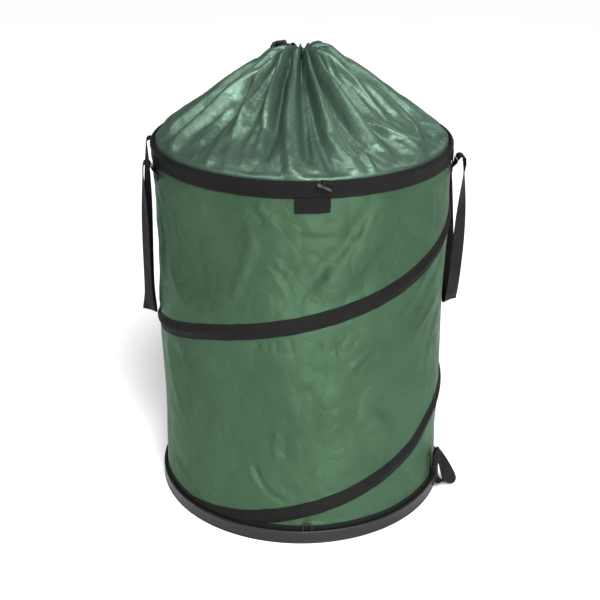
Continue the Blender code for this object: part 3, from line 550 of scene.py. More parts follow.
class Recipe:
    """Builds the nodes of one material."""

    def __init__(self, name: str) -> None:
        """Starts a material with a plain shader.

        Args:
            name: the material's name.
        """
        self.material = bpy.data.materials.new(name)
        self.material.use_nodes = True
        self.tree = self.material.node_tree
        self.shader = self.tree.nodes["Principled BSDF"]
        self.height: Socket | None = None

    def add(self, kind: str, sockets: dict | None = None, **settings) -> bpy.types.Node:
        """Adds a node.

        Args:
            kind: the node's type.
            sockets: values or other nodes' sockets for its inputs, by name or number.
            settings: the node's own properties.

        Returns:
            The node.
        """
        node = self.tree.nodes.new(kind)
        for key, value in settings.items():
            setattr(node, key, value)
        for key, value in (sockets or {}).items():
            if isinstance(value, Socket):
                self.tree.links.new(value, node.inputs[key])
            else:
                node.inputs[key].default_value = value
        return node

    def sums(self, operation: str, first: Value, second: Value = 0.0, third: Value | None = None) -> Socket:
        """Does one step of arithmetic.

        Args:
            operation: the step's name in Blender.
            first: a number or socket.
            second: another, where the step needs it.
            third: a last one, where the step needs it.

        Returns:
            The result's socket.
        """
        values = {0: first, 1: second}
        if third is not None:
            values[2] = third
        return self.add("ShaderNodeMath", values, operation=operation).outputs[0]

    def times(self, first: Value, second: Value) -> Socket:
        """The product of two numbers or sockets."""
        return self.sums("MULTIPLY", first, second)

    def ridges(self, value: Value) -> Socket:
        """Round ridges, one for every half turn of the value."""
        return self.sums("ABSOLUTE", self.sums("SINE", value))

    def cloth_place(self) -> Socket:
        """Where a point is on the flat cloth, in metres."""
        return self.add("ShaderNodeUVMap", uv_map="weave").outputs["UV"]

    def solid_place(self) -> Socket:
        """Where a point is in the object."""
        return self.add("ShaderNodeTexCoord").outputs["Object"]

    def stretched(self, place: Socket, scale: Triple) -> Socket:
        """The same place, stretched along its axes."""
        return self.add("ShaderNodeMapping", {"Vector": place, "Scale": scale}).outputs["Vector"]

    def cloud(self, place: Socket, scale: float, detail: float = 3.0, roughness: float = 0.5) -> Socket:
        """Soft random light and dark."""
        return self.add("ShaderNodeTexNoise",
            {"Vector": place, "Scale": scale, "Detail": detail, "Roughness": roughness}).outputs["Fac"]

    def crumple(self, place: Socket, scale: float) -> Socket:
        """Soft slopes that meet in sharp creases."""
        slopes = self.sums("MULTIPLY_ADD", self.cloud(place, scale, 1.6, 0.4), 2.0, -1.0)
        return self.sums("POWER", self.sums("ABSOLUTE", slopes), 0.85)

    def span(self, value: Socket, low: float, high: float, bottom: float, top: float) -> Socket:
        """Maps one range of numbers on another, and keeps within it.

        Args:
            value: what is mapped.
            low: the first range's start.
            high: the first range's end.
            bottom: the second range's start.
            top: the second range's end.

        Returns:
            The result's socket.
        """
        return self.add("ShaderNodeMapRange",
            {"Value": value, "From Min": low, "From Max": high, "To Min": bottom, "To Max": top}).outputs[
            "Result"]

    def blend(self, share: Socket, first: Colour, second: Colour) -> Socket:
        """Mixes two colours.

        Args:
            share: how much of the second there is.
            first: a colour or socket.
            second: another.

        Returns:
            The mixture's socket.
        """
        node = self.add("ShaderNodeMix", data_type="RGBA")
        self.tree.links.new(share, node.inputs[0])
        for number, value in ((6, first), (7, second)):
            if isinstance(value, Socket):
                self.tree.links.new(value, node.inputs[number])
            else:
                node.inputs[number].default_value = (*value, 1.0)
        return node.outputs[2]

    def raise_by(self, height: Socket, distance: float, strength: float = 1.0) -> None:
        """Adds relief to the surface.

        Args:
            height: the relief, from 0 to 1.
            distance: what 1 stands for, in metres.
            strength: how much of it shows.
        """
        sockets = {"Height": height, "Distance": distance, "Strength": strength}
        if self.height is not None:
            sockets["Normal"] = self.height
        self.height = self.add("ShaderNodeBump", sockets).outputs["Normal"]

    def thread(self, pattern: Pattern, pitch: float) -> Socket:
        """The height of the threads, from 0 to 1, in one of the patterns.

        Args:
            pattern: how the threads run.
            pitch: the distance between two threads, in metres.

        Returns:
            The height's socket.
        """
        parts = self.add("ShaderNodeSeparateXYZ", {0: self.cloth_place()})
        across, along = parts.outputs[0], parts.outputs[1]
        pace = pi / pitch
        if pattern is Pattern.PLAIN:
            first, second = (self.sums("SINE", self.times(way, pace)) for way in (across, along))
            return self.sums("MULTIPLY_ADD", self.times(first, second), 0.5, 0.5)
        if pattern is Pattern.RIBBED:
            return self.ridges(self.times(along, pace))
        if pattern is Pattern.SATIN:
            return self.ridges(self.sums("ADD", self.times(across, pace * 0.25), self.times(along, pace)))
        if pattern is Pattern.HERRINGBONE:
            column = self.sums("PINGPONG", across, pitch * 2.2)
            rib = self.ridges(self.sums("ADD", self.times(along, pace), self.times(column, pace * 1.2)))
            return self.times(rib, self.sums("SMOOTH_MIN", self.times(column, 2.0 / pitch), 1.0, 0.3))
        left, right = (self.ridges(self.sums(way, self.times(across, pace), self.times(along, pace * 0.6)))
            for way in ("ADD", "SUBTRACT"))
        return self.sums("MAXIMUM", left, right)

    def done(self, colour: Colour, roughness: Value) -> bpy.types.Material:
        """Connects colour, roughness and relief.

        Args:
            colour: the surface's colour.
            roughness: how dull it is, from 0 to 1.

        Returns:
            The finished material.
        """
        for name, value in (("Base Color", colour), ("Roughness", roughness)):
            if isinstance(value, Socket):
                self.tree.links.new(value, self.shader.inputs[name])
            else:
                self.shader.inputs[name].default_value = value
        if self.height is not None:
            self.tree.links.new(self.height, self.shader.inputs["Normal"])
        return self.material


class Finish:
    """A finish, whose material is made once."""
    name: str

    def material(self) -> bpy.types.Material:
        """The finish's material."""
        label = f"{self.name}_finish"
        return bpy.data.materials.get(label) or self.mixed(Recipe(label))


@dataclass(frozen=True)
class Textile(Finish):
    """A cloth, tape or cord: its colours, threads and small creases."""
    name: str
    dark: Triple
    light: Triple
    pattern: Pattern
    pitch: float
    thread_height: float
    rough: Pair
    crease_height: float = 0.0
    crease_scale: float = 20.0
    specular: float = 0.4
    tint: Triple = (1.0, 1.0, 1.0)
    ior: float = 1.45
    metallic: float = 0.0
    patch_scale: float = 9.0  # broad light and dark patches
    streak_scale: Triple = (60.0, 900.0, 1.0)
    tone_shares: Triple = (0.5, 0.3, 0.2)  # of patches, streaks and threads
    gloss_scale: float = 30.0  # patches of shinier and duller cloth

    def mixed(self, recipe: Recipe) -> bpy.types.Material:
        """Mixes the material.

        Args:
            recipe: what its nodes are added to.

        Returns:
            The material.
        """
        solid, flat = recipe.solid_place(), recipe.cloth_place()
        patches = recipe.span(recipe.cloud(solid, self.patch_scale, 4.0), 0.35, 0.65, 0.0, 1.0)
        streaks = recipe.cloud(recipe.stretched(flat, self.streak_scale), 1.0, 2.0)
        streaks = recipe.span(streaks, 0.3, 0.7, 0.0, 1.0)
        threads = recipe.thread(self.pattern, self.pitch)
        tones = [recipe.times(source, share) for source,
            share in zip((patches, streaks, threads), self.tone_shares)]
        tone = recipe.sums("ADD", recipe.sums("ADD", tones[0], tones[1]), tones[2])
        colour = recipe.blend(tone, self.dark, self.light)
        rough = recipe.span(recipe.cloud(solid, self.gloss_scale, 3.0), 0.3, 0.7, *self.rough)
        if self.crease_height:
            broad = recipe.crumple(recipe.stretched(solid, (1.0, 1.0, 0.6)), self.crease_scale)
            creases = recipe.sums("MULTIPLY_ADD", recipe.crumple(solid, self.crease_scale * 2.6), 0.4, broad)
            recipe.raise_by(creases, self.crease_height)
        recipe.raise_by(threads, self.thread_height)
        inputs = recipe.shader.inputs
        inputs["Specular IOR Level"].default_value = self.specular
        inputs["Specular Tint"].default_value = (*self.tint, 1.0)
        inputs["IOR"].default_value = self.ior
        inputs["Metallic"].default_value = self.metallic
        return recipe.done(colour, rough)


@dataclass(frozen=True)
class Moulding(Finish):
    """A moulded plastic: a fine grain, and faint scuffs that are paler and rougher where worn."""
    name: str
    colour: Triple
    worn: Triple
    rough: Pair
    grain: float = 0.00003
    grain_scale: float = 900.0
    scuff_scale: Triple = (18.0, 18.0, 90.0)
    specular: float = 0.32

    def mixed(self, recipe: Recipe) -> bpy.types.Material:
        """Mixes the material.

        Args:
            recipe: what its nodes are added to.

        Returns:
            The material.
        """
        solid = recipe.solid_place()
        scuffs = recipe.cloud(recipe.stretched(solid, self.scuff_scale), 1.0, 6.0, 0.65)
        grain = recipe.cloud(solid, self.grain_scale, 2.0)
        wear = recipe.span(scuffs, 0.52, 0.75, 0.0, 0.6)
        colour = recipe.blend(wear, self.colour, self.worn)
        rough = recipe.span(scuffs, 0.3, 0.7, *self.rough)
        recipe.raise_by(recipe.cloud(solid, 14.0, 3.0), 0.0004, 0.4)
        recipe.raise_by(grain, self.grain)
        recipe.shader.inputs["Specular IOR Level"].default_value = self.specular
        return recipe.done(colour, rough)


@dataclass(frozen=True)
class Metal(Finish):
    """Drawn steel with a faint lengthwise brushing."""
    name: str
    colour: Triple
    rough: Pair
    brush_scale: Triple = (300.0, 300.0, 2500.0)
    stain: float = 0.8  # how much darker its dull spots are

    def mixed(self, recipe: Recipe) -> bpy.types.Material:
        """Mixes the material.

        Args:
            recipe: what its nodes are added to.

        Returns:
            The material.
        """
        solid = recipe.solid_place()
        brush = recipe.cloud(recipe.stretched(solid, self.brush_scale), 1.0, 3.0)
        spots = recipe.cloud(solid, 120.0, 4.0)
        colour = recipe.blend(recipe.span(spots, 0.35, 0.7, 0.0, 1.0), self.colour,
            tuple(value * self.stain for value in self.colour))
        recipe.raise_by(brush, 0.00002)
        recipe.shader.inputs["Metallic"].default_value = 1.0
        return recipe.done(colour, recipe.span(brush, 0.3, 0.7, *self.rough))


WALL_CLOTH = Textile("wall_cloth", (0.036, 0.071, 0.041), (0.05, 0.098, 0.057), Pattern.PLAIN, 0.0005,
    0.00008, (0.38, 0.46), crease_height=0.0072, crease_scale=9.0, specular=0.5, ior=1.15, metallic=0.5,
    tint=(0.55, 0.75, 0.6))
COLLAR_CLOTH = Textile("collar_cloth", (0.059, 0.101, 0.074), (0.08, 0.132, 0.098), Pattern.PLAIN, 0.00035,
    0.00002, (0.37, 0.45), crease_height=0.0014, crease_scale=26.0, specular=0.5, ior=1.2, metallic=0.55,
    tint=(0.6, 0.8, 0.68))
BINDING = Textile("binding_tape", (0.0032, 0.0032, 0.0034), (0.0072, 0.0072, 0.0075), Pattern.RIBBED, 0.0007,
    0.00012, (0.66, 0.8), crease_height=0.0012, crease_scale=40.0, specular=0.15)
WEBBING = Textile("webbing", (0.0035, 0.0035, 0.0038), (0.009, 0.009, 0.0094), Pattern.HERRINGBONE, 0.0011,
    0.00018, (0.6, 0.8), specular=0.16)
CORDAGE = Textile("cord", (0.005, 0.005, 0.0055), (0.014, 0.014, 0.0145), Pattern.BRAID, 0.0009, 0.00015,
    (0.55, 0.75), specular=0.3)
LABEL_RIBBON = Textile("label_ribbon", (0.0035, 0.0035, 0.0038), (0.0065, 0.0065, 0.007), Pattern.SATIN,
    0.0004, 0.00004, (0.55, 0.65), specular=0.1)
THREAD = Textile("thread", (0.009, 0.009, 0.0095), (0.019, 0.019, 0.02), Pattern.RIBBED, 0.0004, 0.00004,
    (0.55, 0.7), specular=0.3)
TRAY_PLASTIC = Moulding("tray_plastic", (0.0065, 0.0065, 0.007), (0.016, 0.016, 0.0168), (0.38, 0.52))
LOCK_PLASTIC = Moulding("lock_plastic", (0.007, 0.007, 0.0075), (0.018, 0.018, 0.0185), (0.3, 0.42),
    grain=0.00001, grain_scale=2500.0)
TOGGLE_PLASTIC = Moulding("toggle_plastic", (0.007, 0.007, 0.0075), (0.02, 0.02, 0.0205), (0.16, 0.26),
    grain=0.000005, grain_scale=2500.0)
SPRING_STEEL = Metal("spring_steel", (0.5, 0.5, 0.51), (0.28, 0.42))
RIVET_METAL = Metal("rivet_metal", (0.58, 0.58, 0.6), (0.25, 0.38))


def dress(piece: Piece, finish: Finish, body: str, slot: str, *nodes: str) -> Piece:
    """Makes a piece ready for the assembly.

    Args:
        piece: what is dressed.
        finish: what it is made of.
        body: the body that it rides on.
        slot: its material slot; not used.
        nodes: the CAD nodes that it stands for.

    Returns:
        The same piece.
    """
    piece.data.materials.clear()
    piece.data.materials.append(finish.material())
    if nodes:
        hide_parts(*nodes)
    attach(piece, body)
    report.info("%s rides on %s, %d faces", piece.name, body, len(piece.data.polygons))
    return piece


def sew_round(name: str, radius: float, height: float, body: str, slot: str, pitch: float,
        length: float = STITCH, thread: float = STITCH_THREAD, arc: Pair = (0.0, 360.0)) -> None:
    """Shows a level row of stitches on the outside of the bag.

    Args:
        name: the piece's name.
        radius: the stitches' distance from the axis.
        height: the row's height.
        body: the body that it rides on.
        slot: its material slot; not used.
        pitch: the distance between two stitches' middles.
        length: of one stitch.
        thread: its width.
        arc: the angles where the row starts and ends.
    """
    row = seam_places(lambda angle: polar(angle, radius, height), *arc, pitch, outward)
    dress(finished(name, stitches(bmesh.new(), row, length, thread), 80.0), THREAD, body, slot)


# -------- sizes that pieces share

WALL_OUTER = 0.278
WALL_SAG = 0.0035
STIFF_MARGIN = 0.018  # half the width in which a tape holds the wall stiff
TAPE_HOLD = 0.015  # how far inside the hem and the rim tape that width has its middle
HEM_TOP = 0.036
TAPE_INNER = 0.2783
TAPE_OUTER = 0.2798
BINDING_LOW = 0.684
RIM_TOP = 0.714
BEAD_RADIUS = 0.2768
BEAD_HEIGHT = 0.7065
BEAD_REACH = 0.0045
BEAD_RISE = 0.0075
TRAY_TOP = 0.0265
CLEARANCE = 0.0003  # between pieces that lie side by side
COIL_TURNS = (-0.25, -0.097, -0.022, 0.047, 0.125, 0.161, 0.306, 0.472, 0.639, 0.8, 0.892, 0.994, 1.078,
    1.158, 1.278, 1.417, 1.569, 1.68)
COIL_HEIGHTS = (0.0, 0.048, 0.09, 0.14, 0.213, 0.261, 0.357, 0.415, 0.462, 0.525, 0.584, 0.64, 0.692, 0.752,
    0.84, 0.91, 0.979, 1.02)


def coil_height(turns: float) -> float:
    """Height of the spring's middle, so many turns round from the front of the bag."""
    return RIM_TOP * between(COIL_TURNS, COIL_HEIGHTS, turns)


def press_flat(piece: Piece) -> Piece:
    """Gives a soft piece its own copy of its mesh."""
    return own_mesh(piece)


# -------- the studio

@dataclass(frozen=True)
class SoftBox:
    """A rectangular lamp: where it hangs, what it points at, its two sides and its power."""
    name: str
    place: Triple
    aim: Triple
    size: Pair
    power: float

    def hang(self) -> None:
        """Hangs the lamp."""
        data = bpy.data.lights.new(self.name, "AREA")
        data.shape, data.energy = "RECTANGLE", self.power
        data.size, data.size_y = self.size
        lamp = bpy.data.objects.new(self.name, data)
        lamp.location = self.place
        lamp.rotation_euler = (Vector(self.aim) - Vector(self.place)).to_track_quat("-Z", "Y").to_euler()
        bpy.context.scene.collection.objects.link(lamp)


@dataclass
class Studio:
    """A pale floor, soft lights and the camera of the photograph."""
    camera_place: Triple = (-0.17745, -2.02825, 1.2947)
    camera_turn: float = -5.0
    camera_tilt: float = 65.72
    camera_roll: float = 0.2
    lens: float = 67.56
    film: float = 36.0
    shift: float = -0.0022
    view_end: float = 60.0
    floor_half: float = 9.0
    floor_tones: Pair = (0.95, 0.96)
    floor_rough: float = 0.8
    floor_specular: float = 0.2
    surround: float = 0.15
    sun_power: float = 3.75
    sun_width: float = 22.0
    sun_way: Triple = (-0.16, 0.86, -1.0)
    boxes: tuple[SoftBox, ...] = (
        SoftBox("overhead_box", (-0.9, -0.7, 2.6), (0.0, 0.0, 0.7), (1.2, 0.5), 22.0),
        SoftBox("right_box", (1.5, -1.9, 2.1), (0.0, 0.0, 0.7), (0.35, 0.9), 24.0),
        SoftBox("back_box", (1.2, 1.4, 2.2), (0.0, 0.0, 0.8), (1.2, 0.6), 14.0),
        SoftBox("front_strip", (0.36, -2.3, 0.42), (0.0, 0.0, 0.4), (0.28, 0.7), 24.0),
    )

    def camera(self) -> None:
        """Places the camera at the photograph's viewing angle."""
        data = bpy.data.cameras.new("camera")
        data.lens, data.sensor_width, data.shift_x = self.lens, self.film, self.shift
        data.clip_end = self.view_end
        camera = bpy.data.objects.new("camera", data)
        camera.location = self.camera_place
        turn = (Matrix.Rotation(radians(self.camera_turn), 3, "Z")
            @ Matrix.Rotation(radians(self.camera_tilt), 3, "X")
            @ Matrix.Rotation(radians(self.camera_roll), 3, "Z"))
        camera.rotation_euler = turn.to_euler()
        bpy.context.scene.collection.objects.link(camera)
        bpy.context.scene.camera = camera

    def floor(self) -> None:
        """Lays a plain pale floor under the bag."""
        bm = bmesh.new()
        bmesh.ops.create_circle(bm, cap_ends=True, segments=96, radius=self.floor_half)
        floor = finished("studio_floor", bm, closed=False)
        recipe = Recipe("floor")
        patches = recipe.cloud(recipe.solid_place(), 3.0, 2.0)
        recipe.shader.inputs["Specular IOR Level"].default_value = self.floor_specular
        colour = recipe.blend(patches, *((tone, tone, tone) for tone in self.floor_tones))
        floor.data.materials.append(recipe.done(colour, self.floor_rough))

    def light(self) -> None:
        """Sets the sun, the soft boxes and an even white surround."""
        scene = bpy.context.scene
        world = bpy.data.worlds.new("surround")
        world.use_nodes = True
        background = world.node_tree.nodes["Background"]
        background.inputs["Color"].default_value = (1.0, 1.0, 1.0, 1.0)
        background.inputs["Strength"].default_value = self.surround
        scene.world = world
        scene.view_settings.view_transform = "Standard"
        data = bpy.data.lights.new("key", "SUN")
        data.energy, data.angle = self.sun_power, radians(self.sun_width)
        key = bpy.data.objects.new("key", data)
        key.rotation_euler = Vector(self.sun_way).to_track_quat("-Z", "Y").to_euler()
        scene.collection.objects.link(key)
        for box in self.boxes:
            box.hang()

    def build(self) -> None:
        """Makes the whole studio."""
        self.camera()
        self.floor()
        self.light()


# -------- base

@dataclass
class MouldedTray:
    """The plastic tray: a ribbed floor on a foot ring and a centre pad, inside a double-skinned edge."""
    inner: float = 0.2801
    radius: float = 0.286
    height: float = TRAY_TOP
    skin: float = 0.002
    floor_low: float = 0.003
    floor_top: float = 0.0055
    foot_ring: float = 0.16806
    foot_half: float = 0.003
    pad: float = 0.03
    rib_count: int = 8
    rib_width: float = 0.0025
    rib_lift: float = 0.0006
    rib_edge: float = 0.0004
    rounding: float = 0.0005
    band: Pair = (0.0215, 0.002)  # top and foot of the edge's shallow band
    band_depth: float = 0.0006
    steps: int = 288

    def outline(self) -> list[Pair]:
        """The tray's section, from the middle of its floor out and back underneath."""
        lip, under = self.height - 0.0013, self.height - self.skin
        band_top, band_foot = self.band
        sunk = self.radius - self.band_depth
        corners = [(0.0, self.floor_top), (self.inner - 0.004, self.floor_top),
            (self.inner, self.floor_top + 0.003), (self.inner, lip), (self.inner + 0.0011, self.height),
            (self.radius - 0.0016, self.height), (self.radius, lip), (self.radius, band_top),
            (sunk, band_top - 0.001), (sunk, band_foot + 0.001), (self.radius, band_foot),
            (self.radius, 0.0), (self.radius - self.skin, 0.0), (self.radius - self.skin, under),
            (self.inner + self.skin, under), (self.inner + self.skin, self.floor_low)]
        middle, half = self.foot_ring, self.foot_half
        corners += [(middle + half, self.floor_low), (middle + half, 0.0), (middle - half, 0.0),
            (middle - half, self.floor_low), (self.pad, self.floor_low), (self.pad, 0.0), (0.0, 0.0)]
        return rounded(corners, self.rounding, closed=False)

    def ribs(self, bm: Mesh) -> None:
        """Adds the ribs under the floor.

        Args:
            bm: the tray, which takes them.
        """
        for number in range(self.rib_count):
            start, end = self.pad - self.rib_width, self.inner + self.skin / 2
            low, high = self.rib_lift, self.floor_low + 0.001
            place = (Matrix.Rotation(2 * pi * number / self.rib_count, 4, "Z")
                @ Matrix.Translation(((start + end) / 2, 0.0, (low + high) / 2))
                @ Matrix.Diagonal((end - start, self.rib_width, high - low, 1.0)))
            made = bmesh.ops.create_cube(bm, size=1.0, matrix=place)["verts"]
            edges = list({edge for vertex in made for edge in vertex.link_edges})
            bmesh.ops.bevel(bm, geom=edges, offset=self.rib_edge, affect="EDGES", segments=2, profile=0.5,
                material=-1)

    def build(self) -> None:
        """Makes the tray."""
        bm = turned(self.outline(), self.steps)
        self.ribs(bm)
        dress(finished("leaf_tray", bm, 32.0), TRAY_PLASTIC, "base", "tray", "base_tray")


@dataclass
class FloorCloth:
    """The bag's cloth floor, a disc with soft rucks."""
    radius: float = 0.2706
    low: float = 0.0058
    thickness: float = 0.001
    eye: float = 0.0008  # the hole at the disc's middle, before it is closed
    ruck: float = 0.0008
    calm: Pair = (0.05, 0.02)  # from the edge, where rucks begin to fade and where they end
    rings: int = 34
    steps: int = 144

    def build(self) -> None:
        """Makes the floor cloth from rings of a disc."""
        radii = np.linspace(self.eye, self.radius, self.rings + 1)
        angles = np.linspace(0.0, 2 * pi, self.steps + 1)
        spread, turn = np.meshgrid(radii, angles, indexing="ij")
        x, y = spread * np.cos(turn), spread * np.sin(turn)
        ruck = self.ruck * np.sin(3 * turn + 22 * spread) * np.sin(2 * turn - 15 * spread + 1.0) ** 2
        fade = 1 - smoothstep(self.radius - self.calm[0], self.radius - self.calm[1], spread)
        ruck *= smoothstep(0.0, self.calm[0], spread) * fade
        places = np.stack([x, y, self.low + self.thickness + np.abs(ruck)], axis=-1)
        bm = wrapped(places, np.stack([x, y], axis=-1))
        bmesh.ops.holes_fill(bm, edges=[edge for edge in bm.edges if edge.is_boundary], sides=self.steps - 1)
        bmesh.ops.contextual_create(bm,
            geom=[edge for edge in bm.edges if edge.is_boundary and edge.verts[0].co.xy.length < 0.01])
        bm.normal_update()
        if sum(face.normal.z for face in bm.faces) < 0:
            bmesh.ops.reverse_faces(bm, faces=bm.faces)
        bmesh.ops.solidify(bm, geom=bm.faces[:], thickness=self.thickness)
        cloth = dress(finished("floor_cloth", bm, 60.0), WALL_CLOTH, "base", "wall_cloth", "bottom_panel")


@dataclass
class BaseHem:
    """The tape folded round the wall's foot, with its row of stitches."""
    low: float = 0.0058
    top: float = HEM_TOP
    outer: Pair = (TAPE_INNER, TAPE_OUTER)
    inner: Pair = (0.2709, 0.2724)
    seam: float = 0.0042  # how far the stitches lie below the tape's edge
    seam_pitch: float = 0.0034
    wander: float = 0.0004
    steps: int = 320

    def build(self) -> None:
        """Makes the folded tape and its stitches."""
        fold = self.outer[1] - self.outer[0]
        corners = [(self.outer[1], self.top), (self.outer[1], self.low), (self.inner[0], self.low),
            (self.inner[0], self.top), (self.inner[1], self.top), (self.inner[1], self.low + fold),
            (self.outer[0], self.low + fold), (self.outer[0], self.top)]
        turn, radius, height, weave = ring_grid(rounded(corners, 0.0006), self.steps)
        lift = smoothstep(0.03, self.top, height)
        height = height - lift * self.wander * (1 + np.sin(17 * turn) * np.sin(5 * turn + 1.0))
        hem = finished("base_hem", wrapped(round_grid(turn, radius, height), weave), 60.0)
        dress(hem, BINDING, "base", "tape", "base_hem_tape")
        sew_round("base_hem_stitches", self.outer[1] + STITCH_LIFT, self.top - self.seam, "base", "tape",
            self.seam_pitch)


# -------- wall and spring

@dataclass(frozen=True)
class Crease:
    """A crease in the wall: its line as (angle, height) points, how far it stands out and how wide it is."""
    line: tuple[Pair, ...]
    rise: float
    width: float
    sharp: bool = False

    def shape(self, angle: Grid, height: Grid, radius: float) -> Grid:
        """How far the crease moves each point of the cloth outwards.

        Args:
            angle: each point's angle in degrees.
            height: each point's height.
            radius: of the surface, which turns angles into lengths.

        Returns:
            The distances, in metres.
        """
        scale = radians(1.0) * radius
        ends = [(a * scale, z) for a, z in self.line]
        lengths = [dist(a, b) for a, b in zip(ends[:-1], ends[1:])]
        total, gone = sum(lengths), 0.0
        x, y = angle * scale, height
        nearest = np.full(angle.shape, 9.0)
        along = np.zeros(angle.shape)
        for (start, end), length in zip(zip(ends[:-1], ends[1:]), lengths):
            dx, dy = end[0] - start[0], end[1] - start[1]
            part = np.clip(((x - start[0]) * dx + (y - start[1]) * dy) / (length * length), 0.0, 1.0)
            away = np.hypot(x - start[0] - part * dx, y - start[1] - part * dy)
            closer = away < nearest
            nearest = np.where(closer, away, nearest)
            along = np.where(closer, (gone + part * length) / total, along)
            gone += length
        fade = smoothstep(0.0, 0.25, along) * (1 - smoothstep(0.7, 1.0, along)) * 0.85 + 0.15
        ratio = nearest / self.width
        shape = np.exp(-ratio * 1.4) if self.sharp else np.exp(-ratio * ratio)
        return self.rise * fade * shape


def rumple(x: Grid, y: Grid, width: float, wave: float, seed: int, stretch: float = 1.0) -> Grid:
    """Crumpled cloth: slopes that meet in sharp crests, from 0 to 1, in a strip that repeats along x.

    Args:
        x: distance along the cloth.
        y: distance across it.
        width: after which x repeats.
        wave: rough distance between crests.
        seed: of the random directions.
        stretch: how much longer the crests are across the cloth.

    Returns:
        The height at each point.
    """
    random = np.random.default_rng(seed)
    total = np.zeros(x.shape)
    for _ in range(7):
        turn, phase, size = random.uniform(0.0, pi), random.uniform(0.0, 2 * pi), random.uniform(0.7, 1.3)
        count = round(cos(turn) * width * size / wave)
        broad = round(width * random.uniform(0.5, 1.5) / (wave * 4))
        patch = 2 * pi * broad / width * x + phase * 3
        bend = 1.3 * np.sin(patch + y * 2 / wave)
        slope = pi * count / width * x + pi * sin(turn) * size / (wave * stretch) * y + phase
        local = 0.5 + 0.5 * np.sin(patch + pi * random.uniform(0.3, 0.6) * y / wave)
        total += local ** 2 * (1.0 - np.abs(np.sin(slope + bend)) ** 0.9)
    return np.clip(total / 3.0, 0.0, 1.0)


